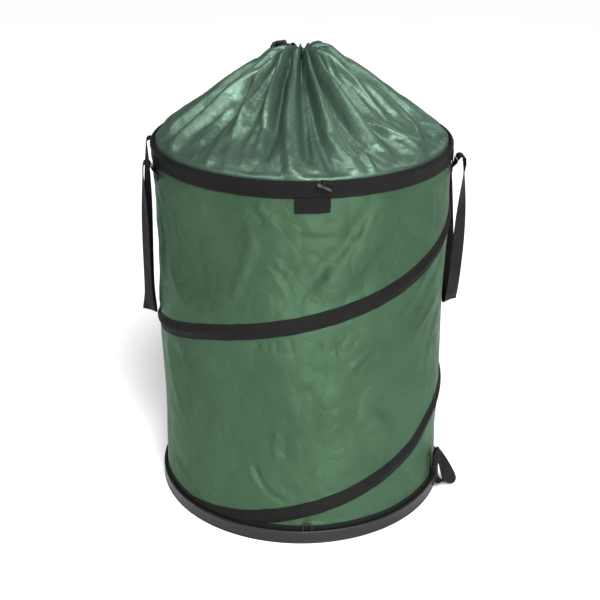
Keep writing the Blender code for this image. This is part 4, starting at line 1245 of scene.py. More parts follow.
@dataclass
class BagWall:
    """The woven wall, which draws in between the spring's turns and carries soft creases."""
    low: float = 0.0076
    top: float = 0.6987
    thickness: float = 0.001
    columns: int = 384
    rows: int = 118
    front_density: float = 0.5  # how much closer the columns stand at the front than at the back
    loop_place: Triple = (-22.5, 0.125, 0.075)  # the raised loop's angle, height, reach
    crease_gain: float = 2.2
    rumples: tuple[Rumple, ...] = ((0.0026, 0.11, 11, 1.4), (0.0014, 0.045, 23, 1.3))
    gathers: int = 27  # small gathers above the hem
    gather_depth: float = 0.0007
    gather_height: float = 0.03
    hold: float = 0.012  # distance over which the cloth comes free of a tape
    relief: float = 0.0055  # what the creases come near to, out and in, and never pass
    creases: tuple[Crease, ...] = tuple(Crease(*row) for row in (
        (((-59, .672), (-68, .618), (-78, .56), (-90, .497)), .0042, .026),
        (((-69.5, .668), (-78, .608), (-88, .55), (-98, .497)), -.0034, .014),
        (((-50, .64), (-58, .585), (-69, .532), (-80, .492)), -.0028, .022),
        (((-115.6, .655), (-112.8, .599), (-116.8, .539), (-120.7, .477)), .0024, .01),
        (((-126, .655), (-130, .585), (-134, .51), (-132, .45)), -.0042, .042),
        (((-113.3, .668), (-107.6, .634)), -.0018, .006, True),
        (((-111.5, .672), (-104.0, .64)), .0016, .007),
        (((-120.1, .592), (-112.9, .56)), .0014, .005, True),
        (((-97.8, .628), (-83.0, .619)), .0016, .005, True),
        (((-98, .618), (-80, .607)), -.0014, .009),
        (((-108.5, .566), (-103.4, .53), (-99.0, .503)), .0016, .006, True),
        (((-105.5, .575), (-101.0, .548), (-97.4, .522)), .0014, .006, True),
        (((-103.0, .556), (-98.6, .53)), -.0014, .006),
        (((-160.5, .64), (-158.0, .566), (-154.5, .5), (-146, .452), (-134, .44)), .002, .007),
        (((-166.5, .64), (-163.5, .566), (-160.0, .5)), -.0022, .009),
        (((-152.5, .65), (-150.0, .57), (-146.5, .5)), -.0018, .012),
        (((-172, .6), (-168, .52), (-160, .45)), .0018, .008),
        (((-37, .52), (-49.9, .462), (-62, .405)), .0018, .007, True),
        (((-33, .5), (-45, .44), (-56, .385)), -.0018, .01),
        (((-26.6, .448), (-42.6, .4), (-53, .36)), .0016, .007),
        (((-22, .42), (-33, .36), (-40, .3)), -.002, .012),
        (((-40, .66), (-38, .61), (-40, .57)), .0016, .009),
        (((-112, .428), (-110.4, .398)), -.0012, .004),
        (((-108.6, .43), (-106.8, .4)), -.0012, .004),
        (((-104.5, .43), (-103.6, .402)), -.0012, .004),
        (((-99.5, .428), (-98.0, .396)), -.001, .004),
        (((-88.7, .42), (-87.6, .394)), -.0014, .005),
        (((-82.0, .414), (-80.4, .388)), -.0012, .005),
        (((-77.0, .354), (-73.5, .372), (-68.0, .389)), .0018, .005, True),
        (((-75.0, .345), (-68.0, .374), (-64.0, .388)), -.0014, .007),
        (((-137.0, .392), (-132.0, .356), (-128.8, .325)), .0018, .007),
        (((-149.5, .375), (-144.0, .3), (-136.5, .228)), .0024, .008),
        (((-155.0, .35), (-149.5, .285), (-142.5, .22)), -.002, .01),
        (((-161.0, .35), (-157.0, .27), (-150.0, .19)), .0018, .01),
        (((-126, .33), (-129, .26), (-124, .18)), -.0034, .034),
        (((-114.5, .172), (-111.4, .132), (-108.2, .108), (-98.0, .076)), -.0026, .006),
        (((-111.5, .108), (-104.1, .104), (-98.8, .101)), .0016, .004, True),
        (((-117.0, .166), (-113.0, .128), (-110.0, .104)), .0016, .007),
        (((-103.5, .24), (-105.0, .205), (-104.4, .17)), .0014, .006),
        (((-100.0, .238), (-101.5, .205), (-101.0, .176)), -.0012, .008),
        (((-158.5, .098), (-150.0, .078), (-142.0, .066)), -.0018, .008),
        (((-64, .33), (-70, .262), (-60, .196)), .0022, .018),
        (((-56, .33), (-60, .262), (-50, .2)), -.0024, .02),
        (((-88, .33), (-82, .27), (-86, .2)), .0014, .022),
        (((-40, .15), (-58, .112), (-76, .094)), -.0014, .01),
        (((-28, .19), (-38, .15), (-50, .128)), .0014, .008),
        (((25, .66), (36, .6), (48, .52)), .003, .02),
        (((14, .64), (24, .585), (37, .51)), -.003, .016),
        (((88, .6), (104, .53), (112, .45)), .0028, .018),
        (((98, .62), (116, .545), (124, .47)), -.0028, .018),
        (((150, .48), (140, .4), (146, .33)), .0024, .012),
        (((64, .4), (80, .345), (84, .27)), .0022, .01, True),
        (((72, .4), (88, .34), (93, .27)), -.0024, .014),
        (((20, .26), (34, .205), (38, .15)), .0022, .01),
        (((120, .27), (106, .21), (112, .15)), -.0026, .016),
        (((160, .25), (172, .19), (168, .12)), .0024, .012),
    ))

    def drawn_in(self, angle: Grid, height: Grid) -> tuple[Grid, Grid]:
        """How the wall lies between the spring's turns.

        Args:
            angle: each point's angle in degrees.
            height: each point's height.

        Returns:
            The wall's outer radius, and how free the cloth is there, from 0 to 1.
        """
        turns = np.linspace(COIL_TURNS[0], COIL_TURNS[-1], 900)
        coil = np.array([coil_height(float(turn)) for turn in turns])
        place = (angle + 90.0) / 360.0
        below = np.full(angle.shape, HEM_TOP - TAPE_HOLD)
        above = np.full(angle.shape, BINDING_LOW + TAPE_HOLD)
        for lap in (-1, 0, 1, 2, 3):
            line = np.interp(place + lap, turns, coil, left=np.nan, right=np.nan)
            known = ~np.isnan(line)
            below = np.where(known & (line <= height) & (line > below), line, below)
            above = np.where(known & (line > height) & (line < above), line, above)
        low, high = below + STIFF_MARGIN, above - STIFF_MARGIN
        inside = (height > low) & (height < high)
        wide = np.where(high > low, high - low, 1.0)
        share = np.clip((height - low) / wide, 0.0, 1.0)
        span = np.minimum(wide / (BINDING_LOW / 3), 1.0)
        sag = np.where(inside, WALL_SAG * span * np.sin(np.pi * share) ** 2, 0.0)
        loose = smoothstep(0.0, self.hold, height - low) * smoothstep(0.0, self.hold, high - height)
        return WALL_OUTER - sag, np.where(inside, loose, 0.0)

    def build(self) -> None:
        """Makes the wall."""
        around = np.linspace(-180.0, 180.0, self.columns + 1)
        angles = around - self.front_density * np.degrees(np.sin(np.radians(around))) - 90.0
        heights = np.linspace(self.low, self.top, self.rows + 1)
        height, angle = np.meshgrid(heights, angles, indexing="ij")
        radius, free = self.drawn_in(angle, height)
        push = np.zeros(angle.shape)
        for crease in self.creases:
            for lap in (-360.0, 0.0, 360.0):
                push += crease.shape(angle + lap, height, WALL_OUTER)
        girth = 2 * pi * WALL_OUTER
        x = np.radians(angle) * WALL_OUTER
        push *= self.crease_gain
        for depth, wave, seed, stretch in self.rumples:
            push += depth * (rumple(x, height, girth, wave, seed, stretch) - RUMPLE_MIDDLE)
        turn = np.radians(angle)
        gathers = np.abs(np.sin(self.gathers * turn + np.sin(6 * turn)))
        push -= self.gather_depth * gathers * (1 - smoothstep(0.0, self.gather_height, height - HEM_TOP))
        to_loop = np.hypot(np.radians(angle - self.loop_place[0]) * WALL_OUTER, height - self.loop_place[1])
        push = np.minimum(push, 0.0075 * smoothstep(0.5, 1.0, to_loop / self.loop_place[2]) - 0.001)
        radius = radius + self.relief * np.tanh(push / self.relief) * free
        places = round_grid(turn, radius, height)
        weave = np.stack([x, height], axis=-1)
        bm = face_away(wrapped(places, weave))
        bmesh.ops.solidify(bm, geom=bm.faces[:], thickness=self.thickness)
        wall = dress(finished("cloth_wall", bm, 70.0), WALL_CLOTH, "base", "wall_cloth", "bag_wall")
        press_flat(wall)


@dataclass
class SpiralSpring:
    """The spring wire round the wall, and the stitched tape sleeve that holds it there."""
    wire: float = 0.0034
    wire_radius: float = 0.28
    width: float = 0.03
    seam: float = 0.0118
    edge_inner: float = 0.2783
    edge_outer: float = 0.2791
    peak: float = 0.2827
    cloth: float = 0.0008
    crown: float = 0.22  # how round the sleeve is over the wire
    marks: Numbers = (0.0011, 0.0024, 0.0042, 0.0066, 0.0094)
    lip: float = 0.0002
    ripple: float = 0.00022
    seam_place: float = 0.012
    seam_pitch: float = 0.004
    seam_stitch: float = 0.0028
    steps_per_turn: int = 240

    def bulge(self, across: float) -> float:
        """Shapes the sleeve over the wire.

        Args:
            across: the distance from the wire.

        Returns:
            The radius of the sleeve's inner side there.
        """
        reach, crown = min(abs(across) / self.seam, 1.0), self.crown
        fall = (hypot(reach, crown) - crown) / (hypot(1.0, crown) - crown)
        return self.edge_inner + (self.peak - self.edge_inner) * (1 - fall)

    def section(self) -> list[Pair]:
        """The sleeve's outline, as (across, radius)."""
        half, middle = self.width / 2, self.edge_inner + self.cloth / 2
        right = [*self.marks, self.seam, half]
        marks = [-mark for mark in reversed(right)] + [0.0] + right
        inner = [(across, self.bulge(across)) for across in marks]
        outer = [(across, self.bulge(across) + self.cloth) for across in reversed(marks)]
        return inner + [(half + self.lip, middle)] + outer + [(-half - self.lip, middle)]

    def along(self, place: float, across: float, radius: float) -> Vector:
        """Finds a point on the spiral, or beside it.

        Args:
            place: turns round from the front of the bag.
            across: the distance from the spiral's middle line.
            radius: the distance from the bag's axis.

        Returns:
            The point.
        """
        rise = (coil_height(place + 0.01) - coil_height(place - 0.01)) / 0.02
        girth = 2 * pi * WALL_OUTER
        stretch = hypot(rise, girth) / girth
        return polar(360.0 * place - 90.0, radius, coil_height(place) + across * stretch)

    def build(self) -> None:
        """Makes the sleeve, its two rows of stitches and the wire."""
        first, last = COIL_TURNS[0], COIL_TURNS[-1]
        count = round((last - first) * self.steps_per_turn)
        places = [first + (last - first) * number / count for number in range(count + 1)]
        outline = self.section()
        outline.append(outline[0])
        girth = run_lengths(*zip(*outline))
        rows, weave, wire, length = [], [], [], 0.0
        for number, place in enumerate(places):
            ripple = self.ripple * sin(number * 0.9) * sin(number * 0.23)
            rows.append([self.along(place, across + (ripple * 2 if abs(across) > self.seam_place else 0.0),
                radius + (abs(ripple) if radius > self.edge_outer - 0.0001 else 0.0)) for across,
                radius in outline])
            weave.append([(turn, length) for turn in girth])
            wire.append(self.along(place, 0.0, self.wire_radius))
            length += 2 * pi * WALL_OUTER / self.steps_per_turn
        low, high = HEM_TOP + CLEARANCE, BINDING_LOW - CLEARANCE
        sleeve = cut_level(cut_level(wrapped(np.array(rows), np.array(weave), caps=True), low, True), high,
            False)
        press_flat(dress(finished("spring_sleeve", sleeve, 60.0), BINDING, "base", "tape", "spiral_sleeve"))
        coil = cut_level(cut_level(tube(wire, self.wire, 10), low, True), high, False)
        press_flat(dress(finished("spiral_wire", coil, 60.0), SPRING_STEEL, "base", "spring_steel",
            "spring_coil"))
        bm = bmesh.new()
        for across in (-self.seam_place, self.seam_place):
            seams = seam_places(lambda place: self.along(place, across, self.edge_outer + 0.00025), first,
                last, self.seam_pitch, lambda place: outward(360.0 * place - 90.0))
            stitches(bm, [row for row in seams if low + 0.002 < row[0].z < high - 0.002], self.seam_stitch)
        press_flat(dress(finished("sleeve_stitches", bm, 80.0), THREAD, "base", "tape"))


# -------- rim

@dataclass
class RimTape:
    """The tape folded over the rim, with a bead round the wire hoop inside it."""
    lining: Pair = (0.2752, 0.2767)
    lining_low: float = 0.69
    low: float = BINDING_LOW
    tape: float = 0.0015
    seam: float = 0.0035  # how far the stitches lie above the tape's edge
    seam_pitch: float = 0.0036
    seam_stitch: float = 0.0026
    pucker: float = 0.00022
    wander: float = 0.0003
    steps: int = 384

    def bead(self, inset: float, start: float, end: float, count: int) -> list[Pair]:
        """Finds points round the bead.

        Args:
            inset: how far they lie inside its skin.
            start: the first point's angle in degrees.
            end: the last point's angle.
            count: the number of steps between them.

        Returns:
            The points, as (distance from the axis, height).
        """
        rows = []
        for number in range(count + 1):
            turn = radians(start + (end - start) * number / count)
            rows.append((BEAD_RADIUS + (BEAD_REACH - inset) * cos(turn),
                BEAD_HEIGHT + (BEAD_RISE - inset) * sin(turn)))
        return rows

    def build(self) -> None:
        """Makes the tape and its row of stitches."""
        skin_outer = degrees(acos((TAPE_OUTER - BEAD_RADIUS) / BEAD_REACH))
        skin_inner = degrees(acos((self.lining[0] - BEAD_RADIUS) / BEAD_REACH))
        reach = BEAD_REACH - self.tape
        slot_outer = degrees(acos((TAPE_INNER - BEAD_RADIUS) / reach))
        slot_inner = degrees(acos((self.lining[1] - BEAD_RADIUS) / reach))
        outline = [(TAPE_OUTER - 0.0003, self.low), (TAPE_OUTER, self.low + 0.0005),
            (TAPE_OUTER, self.low + 0.005), (TAPE_OUTER, self.low + 0.01)]
        outline += self.bead(0.0, -skin_outer, 360 - skin_inner, 28)
        outline += [(self.lining[0], self.lining_low), (self.lining[1], self.lining_low)]
        outline += self.bead(self.tape, 360 - slot_inner, -slot_outer, 20)
        outline += [(TAPE_INNER, self.low)]
        turn, radius, height, weave = ring_grid(outline, self.steps)
        outer = smoothstep(TAPE_OUTER - 0.0006, TAPE_OUTER + 0.001, radius)
        pucker = np.sin(41 * turn + 2 * np.sin(7 * turn)) * np.sin(13 * turn + 0.7)
        radius = radius + self.pucker * pucker * outer * smoothstep(self.low, self.low + 0.004, height)
        hang = 1 - smoothstep(self.low, 0.7, height)
        height = height + self.wander * np.sin(23 * turn) * np.sin(9 * turn + 2) * hang
        tape = finished("rim_tape", wrapped(round_grid(turn, radius, height), weave), 60.0)
        dress(tape, BINDING, "rim", "tape", "rim_binding")
        sew_round("rim_stitches", TAPE_OUTER + 0.0001, self.low + self.seam, "rim", "tape", self.seam_pitch,
            self.seam_stitch)


@dataclass(frozen=True)
class Fold:
    """A fold that runs up the collar: its line, as (share of the way up, angle, rise), and its width."""
    line: tuple[Triple, ...]
    width: float
    crisp: float = 1.0  # above 1 the crest is sharp, below 1 it is round
    gathered: float = 0.28  # share of its width that it keeps at the mouth
    spread: float = 0.52  # what it gains on the way to the rim
    spread_radii: Pair = (0.03, 0.2)

    def shape(self, angle: Grid, share: Grid, radius: Grid) -> Grid:
        """How far the fold lifts each point of the cloth.

        Args:
            angle: each point's angle in degrees.
            share: how far up the collar each point is, from 0 to 1.
            radius: each point's distance from the axis.

        Returns:
            The lifts, in metres.
        """
        marks = np.array(self.line)
        crest = np.interp(share, marks[:, 0], marks[:, 1])
        rise = np.interp(share, marks[:, 0], marks[:, 2])
        low, high = marks[0, 0], marks[-1, 0]
        fade = smoothstep(low - 0.12, low + 0.02, share) * (1 - smoothstep(high - 0.02, high + 0.12, share))
        away = (angle - crest + 180.0) % 360.0 - 180.0
        distance = np.abs(np.radians(away)) * np.maximum(radius, self.spread_radii[0])
        width = self.width * (self.gathered + self.spread * smoothstep(*self.spread_radii, radius))
        ratio = distance / width
        shape = np.exp(-np.power(ratio * ratio + 0.02, 1.0 / self.crisp))
        return rise * fade * shape


@dataclass
class GatheredCollar:
    """The shiny collar, drawn together at its mouth in folds that run down to the rim."""
    outer: float = 0.27142
    mouth: float = 0.04
    rise: float = 0.1575
    heights: Numbers = (-0.14, 0.0, 0.06, 0.2, 0.36, 0.52, 0.68, 0.83, 0.94, 1.0)
    radii: Numbers = (1.0, 1.0, 0.945, 0.817, 0.687, 0.551, 0.404, 0.247, 0.088, 0.0)
    swells: Numbers = (0.0, 0.0, 0.15, 0.5, 0.85, 1.05, 1.15, 1.15, 1.05, 1.0)
    pleat_depth: float = 0.0055
    pleat_count: int = 20
    fold_gain: float = 2.7
    fold_limit: float = 0.017  # what the folds come near to, out and in, and never pass
    settle: float = 0.0125  # how far the cloth sinks between rim and mouth
    lines: int = 27  # fine lines that run up the cloth
    line_depth: float = 0.0016
    cloth_radius: float = 0.23  # where lengths along the cloth are measured
    slant: float = 0.285
    rim_rumples: tuple[Rumple, ...] = ((0.0075, 0.04, 5, 2.2), (0.003, 0.026, 8, 1.6))
    middle_rumples: tuple[Rumple, ...] = ((0.0014, 0.028, 15, 3.5),)
    cord_width: Pair = (14.0, 26.0)  # degrees each side of the cords where the folds stay plain
    foot_fade: float = 0.045
    cord_angle: float = 120.0
    cord_ring: Pair = (0.04, 0.8624)
    notch_half: float = 0.005
    notch_end: float = 0.0667
    thickness: float = 0.0008
    columns: int = 400
    rows: int = 92
    hem_rows: int = 10
    folds: tuple[Fold, ...] = tuple(Fold(*row) for row in (
        (((.03, -74, .002), (.14, -75.7, .005), (.24, -78.4, .007), (.36, -78.8, .009), (.51, -80.2, .009),
          (.72, -82.5, .008), (.97, -86, .006)), .013, 1.5),
        (((.15, -57.5, .003), (.21, -60.4, .005), (.32, -59.8, .008), (.42, -60.5, .009), (.57, -62.4, .01),
          (.8, -63.5, .008), (.97, -66, .005)), .015, 1.4),
        (((.05, -68, .003), (.18, -68.9, .006), (.29, -71.2, .006), (.43, -73.6, .005), (.57, -75.8, .003)),
          .008, 1.6),
        (((.14, -36, .004), (.24, -31, .008), (.36, -26.9, .011), (.49, -26.5, .012), (.62, -29.4, .012),
          (.78, -34.7, .01), (.9, -42, .008), (1.0, -48, .006)), .024, 1.2),
        (((.1, -42.2, .003), (.21, -42.9, .007), (.28, -46.9, .007), (.38, -50.5, .006), (.49, -54, .004)),
          .01, 1.5),
        (((.0, -98, .002), (.15, -98.9, .006), (.34, -100.6, .009), (.46, -102.0, .011), (.63, -103.5, .011),
          (.84, -105.2, .009), (1.0, -109, .007)), .017, 1.0),
        (((.2, -92.5, -.004), (.34, -92.8, -.007), (.46, -93.0, -.009), (.63, -94.0, -.01),
          (.84, -95.5, -.009), (1.0, -97, -.006)), .01, 1.0),
        (((.22, -109.5, -.004), (.45, -110.5, -.007), (.63, -113.0, -.008), (.89, -119.5, -.007)),
          .011, 1.0),
        (((.48, -118.6, .005), (.6, -120.5, .009), (.74, -124.8, .009), (.9, -129.5, .007),
          (1.0, -133, .006)), .012, 1.3),
        (((.36, -130.7, .003), (.5, -134.9, .007), (.63, -139.5, .008), (.75, -145.0, .008),
          (.9, -152, .006)), .013, 1.5),
        (((.2, -142.4, -.004), (.35, -145.8, -.008), (.49, -146.4, -.01), (.6, -149.4, -.009),
          (.75, -156.2, -.006)), .015, 1.1),
        (((.04, -155.5, .003), (.17, -159.3, .007), (.32, -160.5, .009), (.52, -162.2, .01),
          (.74, -166.7, .008), (.95, -172, .005)), .017, 1.4),
        (((.1, -167.5, -.003), (.32, -168.8, -.006), (.52, -170.5, -.007), (.8, -176.0, -.005)), .012, 1.0),
        (((.06, -176.5, .003), (.25, -176.5, .008), (.49, -181.5, .01), (.76, -189, .008), (.95, -194, .006)),
          .018, 1.3),
        (((.1, -84.5, -.003), (.3, -86.5, -.005), (.5, -87.5, -.006), (.8, -90.5, -.006)), .01, 1.0),
        (((.12, -66.0, -.002), (.36, -69.5, -.007), (.55, -72.0, -.01), (.8, -74.5, -.008),
          (.97, -76, -.005)), .012, 1.0),
        (((.1, -51.0, -.003), (.3, -53.0, -.006), (.55, -52.5, -.01), (.75, -53.5, -.01), (.95, -57, -.006)),
          .014, 1.1),
        (((.12, -20, -.003), (.35, -14.5, -.007), (.6, -14.5, -.008), (.85, -21, -.005)), .017, 1.0),
        (((.06, -8, .003), (.25, -5, .008), (.5, -2.5, .01), (.75, -6.5, .008), (.98, -12, .006)),
          .019, 1.2),
        (((.1, 10, -.003), (.35, 9, -.007), (.65, 12, -.008), (.95, 8, -.005)), .016, 1.0),
        (((.05, 22, .003), (.28, 20, .008), (.55, 24, .01), (.8, 22, .008), (1.0, 18, .006)), .018, 1.3),
        (((.12, 36, -.003), (.4, 34, -.007), (.7, 36, -.008), (.95, 32, -.005)), .015, 1.0),
        (((.05, 46, .003), (.3, 48, .008), (.55, 46, .009), (.8, 47, .008), (1.0, 44, .006)), .016, 1.4),
        (((.1, 60, -.003), (.4, 62, -.007), (.7, 59, -.008), (.95, 57, -.005)), .016, 1.0),
        (((.05, 76, .003), (.28, 74, .008), (.55, 76, .009), (.85, 73, .007)), .018, 1.2),
        (((.05, -197, .003), (.28, -198, .007), (.5, -202, .008), (.8, -205, .007)), .016, 1.3),
        (((.1, -187, -.003), (.4, -190, -.006), (.8, -197, -.006)), .012, 1.0),
    ))

    def profile(self) -> tuple[Grid, ...]:
        """The collar's plain section, read finely.

        Returns:
            For each sample: its share of the way up, its radius, its height, the two parts of the
            outward direction, and its row.
        """
        rows = np.linspace(0.0, len(self.heights) - 1, 900)
        reach = self.outer - self.mouth
        radius = np.array([self.mouth + reach * on_curve(self.radii, float(row)) for row in rows])
        height = np.array([RIM_TOP + self.rise * on_curve(self.heights, float(row)) for row in rows])
        length = run_lengths(radius, height)
        foot = np.interp(1.0, rows, length)
        share = (length - foot) / (length[-1] - foot)
        run, climb = np.gradient(radius), np.gradient(height)
        size = np.hypot(run, climb)
        return share, radius, height, climb / size, -run / size, rows

    def lift(self, angle: Grid, share: Grid, radius: Grid, swell: Grid) -> Grid:
        """How far the folds, pleats and crumples lift each point of the cloth.

        Args:
            angle: each point's angle in degrees.
            share: how far up the collar each point is, from 0 to 1.
            radius: each point's distance from the axis.
            swell: how much of the full pleat there is at each point.

        Returns:
            The lifts, in metres.
        """
        wave = -np.cos(np.radians(self.pleat_count * (angle - self.cord_angle)))
        plain = self.pleat_depth * swell * wave
        wander = 5.0 * np.sin(np.radians(3 * angle + 40)) + 2.0 * np.sin(np.radians(7 * angle))
        swing = np.radians(self.pleat_count * (angle + wander - self.cord_angle) / 2)
        loose = 1.0 - 2.0 * np.abs(np.sin(swing)) ** 0.85
        strength = 0.75 + 0.45 * np.sin(np.radians(5 * angle + 60)) * np.sin(np.radians(2 * angle + 20))
        at_mouth = smoothstep(0.4, 0.85, share)
        total = self.pleat_depth * 1.3 * strength * loose * at_mouth
        total += self.pleat_depth * 0.55 * loose * smoothstep(0.1, 0.5, share) * (1 - at_mouth)
        for fold in self.folds:
            total += self.fold_gain * fold.shape(angle, share, radius)
        line = 1.0 - 2.0 * np.abs(np.sin(np.radians(self.lines * (angle + 0.6 * wander)))) ** 0.9
        patch = 0.5 + 0.5 * np.sin(np.radians(5 * angle + 150 * share)) * np.sin(np.radians(3 * angle + 70))
        below_mouth = 1 - smoothstep(0.8, 0.97, share)
        total += self.line_depth * patch * line * smoothstep(0.1, 0.36, share) * below_mouth
        girth = 2 * pi * self.cloth_radius
        x, y = np.radians(angle) * self.cloth_radius, share * self.slant
        near_rim = smoothstep(0.0, 0.05, share) * (1 - smoothstep(0.24, 0.55, share))
        middle = smoothstep(0.25, 0.45, share) * (1 - smoothstep(0.75, 0.95, share))
        for zone, rumples in ((near_rim, self.rim_rumples), (middle, self.middle_rumples)):
            for depth, wave_length, seed, stretch in rumples:
                total += depth * (rumple(x, y, girth, wave_length, seed, stretch) - RUMPLE_MIDDLE) * zone
        total = self.fold_limit * np.tanh(total / self.fold_limit)
        total -= self.settle * smoothstep(0.06, 0.42, share) * below_mouth
        away = np.abs((angle - self.cord_angle + 180.0) % 360.0 - 180.0)
        at_cords = 1 - smoothstep(*self.cord_width, away)
        total = total * (1 - at_cords) + plain * at_cords
        return total * smoothstep(0.0, self.foot_fade, share)

    def build(self) -> None:
        """Makes the collar."""
        known = self.profile()
        shares = np.concatenate([np.linspace(known[0][0], 0.0, 5)[:-1], np.linspace(0.0, 1.0, self.rows + 1)])
        angles = np.linspace(-180.0, 180.0, self.columns + 1) + self.cord_angle + 360.0 / self.columns / 2
        share, angle = np.meshgrid(shares, angles, indexing="ij")
        radius, height, out, up, row = (np.interp(share, known[0], values) for values in known[1:])
        swell = np.interp(row, np.arange(len(self.swells)), np.array(self.swells))
        lift = self.lift(angle, share, radius, swell)
        radius, height = radius + lift * out, height + lift * up
        edge_radius, edge_height = radius[-1], height[-1]
        under_radius, under_height = self.cord_ring[0] + 0.0004, self.cord_ring[1] - 0.0034
        bunch = np.sin(np.radians(self.pleat_count * angle[-1] + 40)) * np.sin(np.radians(3 * angle[-1] + 80))
        hem_radii = (edge_radius, 0.03 + 0.003 * bunch, 0.017 + 0.002 * bunch, 0.007 + 0.0015 * bunch,
            0.014 + 0.002 * bunch, 0.03 + 0.001 * bunch, np.full(bunch.shape, under_radius))
        hem_heights = (edge_height, edge_height - 0.0005 + 0.002 * bunch, edge_height - 0.004,
            edge_height - 0.012, edge_height - 0.02, 0.5 * (edge_height + under_height) - 0.0085,
            np.full(bunch.shape, under_height))
        marks = [(number + 1) * (len(hem_radii) - 1) / self.hem_rows for number in range(self.hem_rows)]
        radius = np.vstack([radius, [on_curve(hem_radii, mark) for mark in marks]])
        height = np.vstack([height, [on_curve(hem_heights, mark) for mark in marks]])
        angle = np.vstack([angle, np.repeat(angle[-1:], self.hem_rows, axis=0)])
        turn = np.radians(angle)
        places = round_grid(turn, radius, height)
        steps = np.linalg.norm(np.diff(places, axis=0), axis=-1).mean(axis=1)
        length = np.concatenate([[0.0], np.cumsum(steps)])
        weave = np.stack([np.radians(angle) * 0.2, np.repeat(length[:, None], angle.shape[1], axis=1)],
            axis=-1)
        bm = wrapped(places, weave)
        if sum(face.normal.z * face.calc_area() for face in bm.faces) < 0:
            bmesh.ops.reverse_faces(bm, faces=bm.faces)
        self.open_notch(bm)
        bm.normal_update()
        bmesh.ops.solidify(bm, geom=bm.faces[:], thickness=self.thickness)
        collar = dress(finished("gathered_collar", bm, 80.0), COLLAR_CLOTH, "rim", "collar_cloth", "collar")

    def open_notch(self, bm: Mesh) -> None:
        """Opens the place behind the mouth where the two cords come out.

        Args:
            bm: the collar's sheet.
        """
        out, across = outward(self.cord_angle), sideways(self.cord_angle)
        gone = []
        for face in bm.faces:
            spot = face.calc_center_median()
            reach, aside = spot.dot(out), spot.dot(across)
            if abs(aside) < self.notch_half and 0.03 < reach < self.notch_end and spot.z > 0.84:
                gone.append(face)
        bmesh.ops.delete(bm, geom=gone, context="FACES")


@dataclass
class DrawCord:
    """The cord inside the mouth, its two ends through the lock, and the knot behind them."""
    diameter: float = 0.0028
    spacing: float = 0.0032
    angle: float = 120.0
    level: float = 0.8691
    bottom: float = 0.8624
    ring: float = 0.04
    exit: float = 0.052
    lock: float = 0.075
    bend: float = 0.088
    end: float = 0.1015
    drop: float = 0.013
    notch: float = 0.012
    knot: float = 0.0042
    knot_cord: float = 0.0025
    knot_core: float = 0.0021
    knot_size: Triple = (0.00095, 0.00105, 0.00135)
    knot_steps: int = 96
    ring_steps: int = 28

    def behind(self, reach: float, across: float, height: float) -> Vector:
        """A point by its distance from the axis along the cords, across them, and its height."""
        return outward(self.angle) * reach + sideways(self.angle) * across + Vector((0, 0, height))

    def build(self) -> None:
        """Makes the cord and the knot."""
        half, run = self.spacing / 2, self.end - self.bend
        outer = [self.behind(self.end, half, self.level - self.drop),
            self.behind(self.bend + run * 0.75, half, self.level - self.drop * 0.55),
            self.behind(self.bend + run * 0.35, half, self.level - self.drop * 0.12),
            self.behind(self.bend, half, self.level), self.behind(self.lock, half, self.level),
            self.behind(self.exit, half, self.level),
            self.behind((self.exit + self.ring) / 2, half * 1.3, (self.level + self.bottom) / 2),
            self.behind(self.ring, self.notch / 2 - self.diameter, self.bottom)]
        ring = [polar(self.angle + 360.0 / self.ring_steps * number, self.ring, self.bottom)
            for number in range(1, self.ring_steps)]
        side = sideways(self.angle)
        inner = [point - 2 * side * point.dot(side) for point in reversed(outer)]
        route = smooth_route(outer + ring + inner, 4)
        dress(finished("draw_cord", tube(route, self.diameter, 12), 80.0), CORDAGE, "rim", "cord",
            "drawstring")
        drop = self.knot / sqrt(2) + CLEARANCE
        spot = self.behind(self.end + drop, 0.0, self.level - self.drop - drop)
        wound = []
        for number in range(self.knot_steps):
            turn = 2 * pi * number / self.knot_steps
            wound.append(
                Vector(((sin(turn) + 2 * sin(2 * turn)) * self.knot_size[0],
                (cos(turn) - 2 * cos(2 * turn)) * self.knot_size[1], -sin(3 * turn) * self.knot_size[2])))
        knot = tube(wound, self.knot_cord, 10, ring=True)
        bmesh.ops.create_icosphere(knot, subdivisions=2, radius=self.knot_core)
        place = Matrix.Translation(spot) @ Matrix.Rotation(radians(self.angle), 4, "Z")
        dress(finished("cord_knot", moved(knot, place), 80.0), CORDAGE, "rim", "cord", "drawstring_knot")


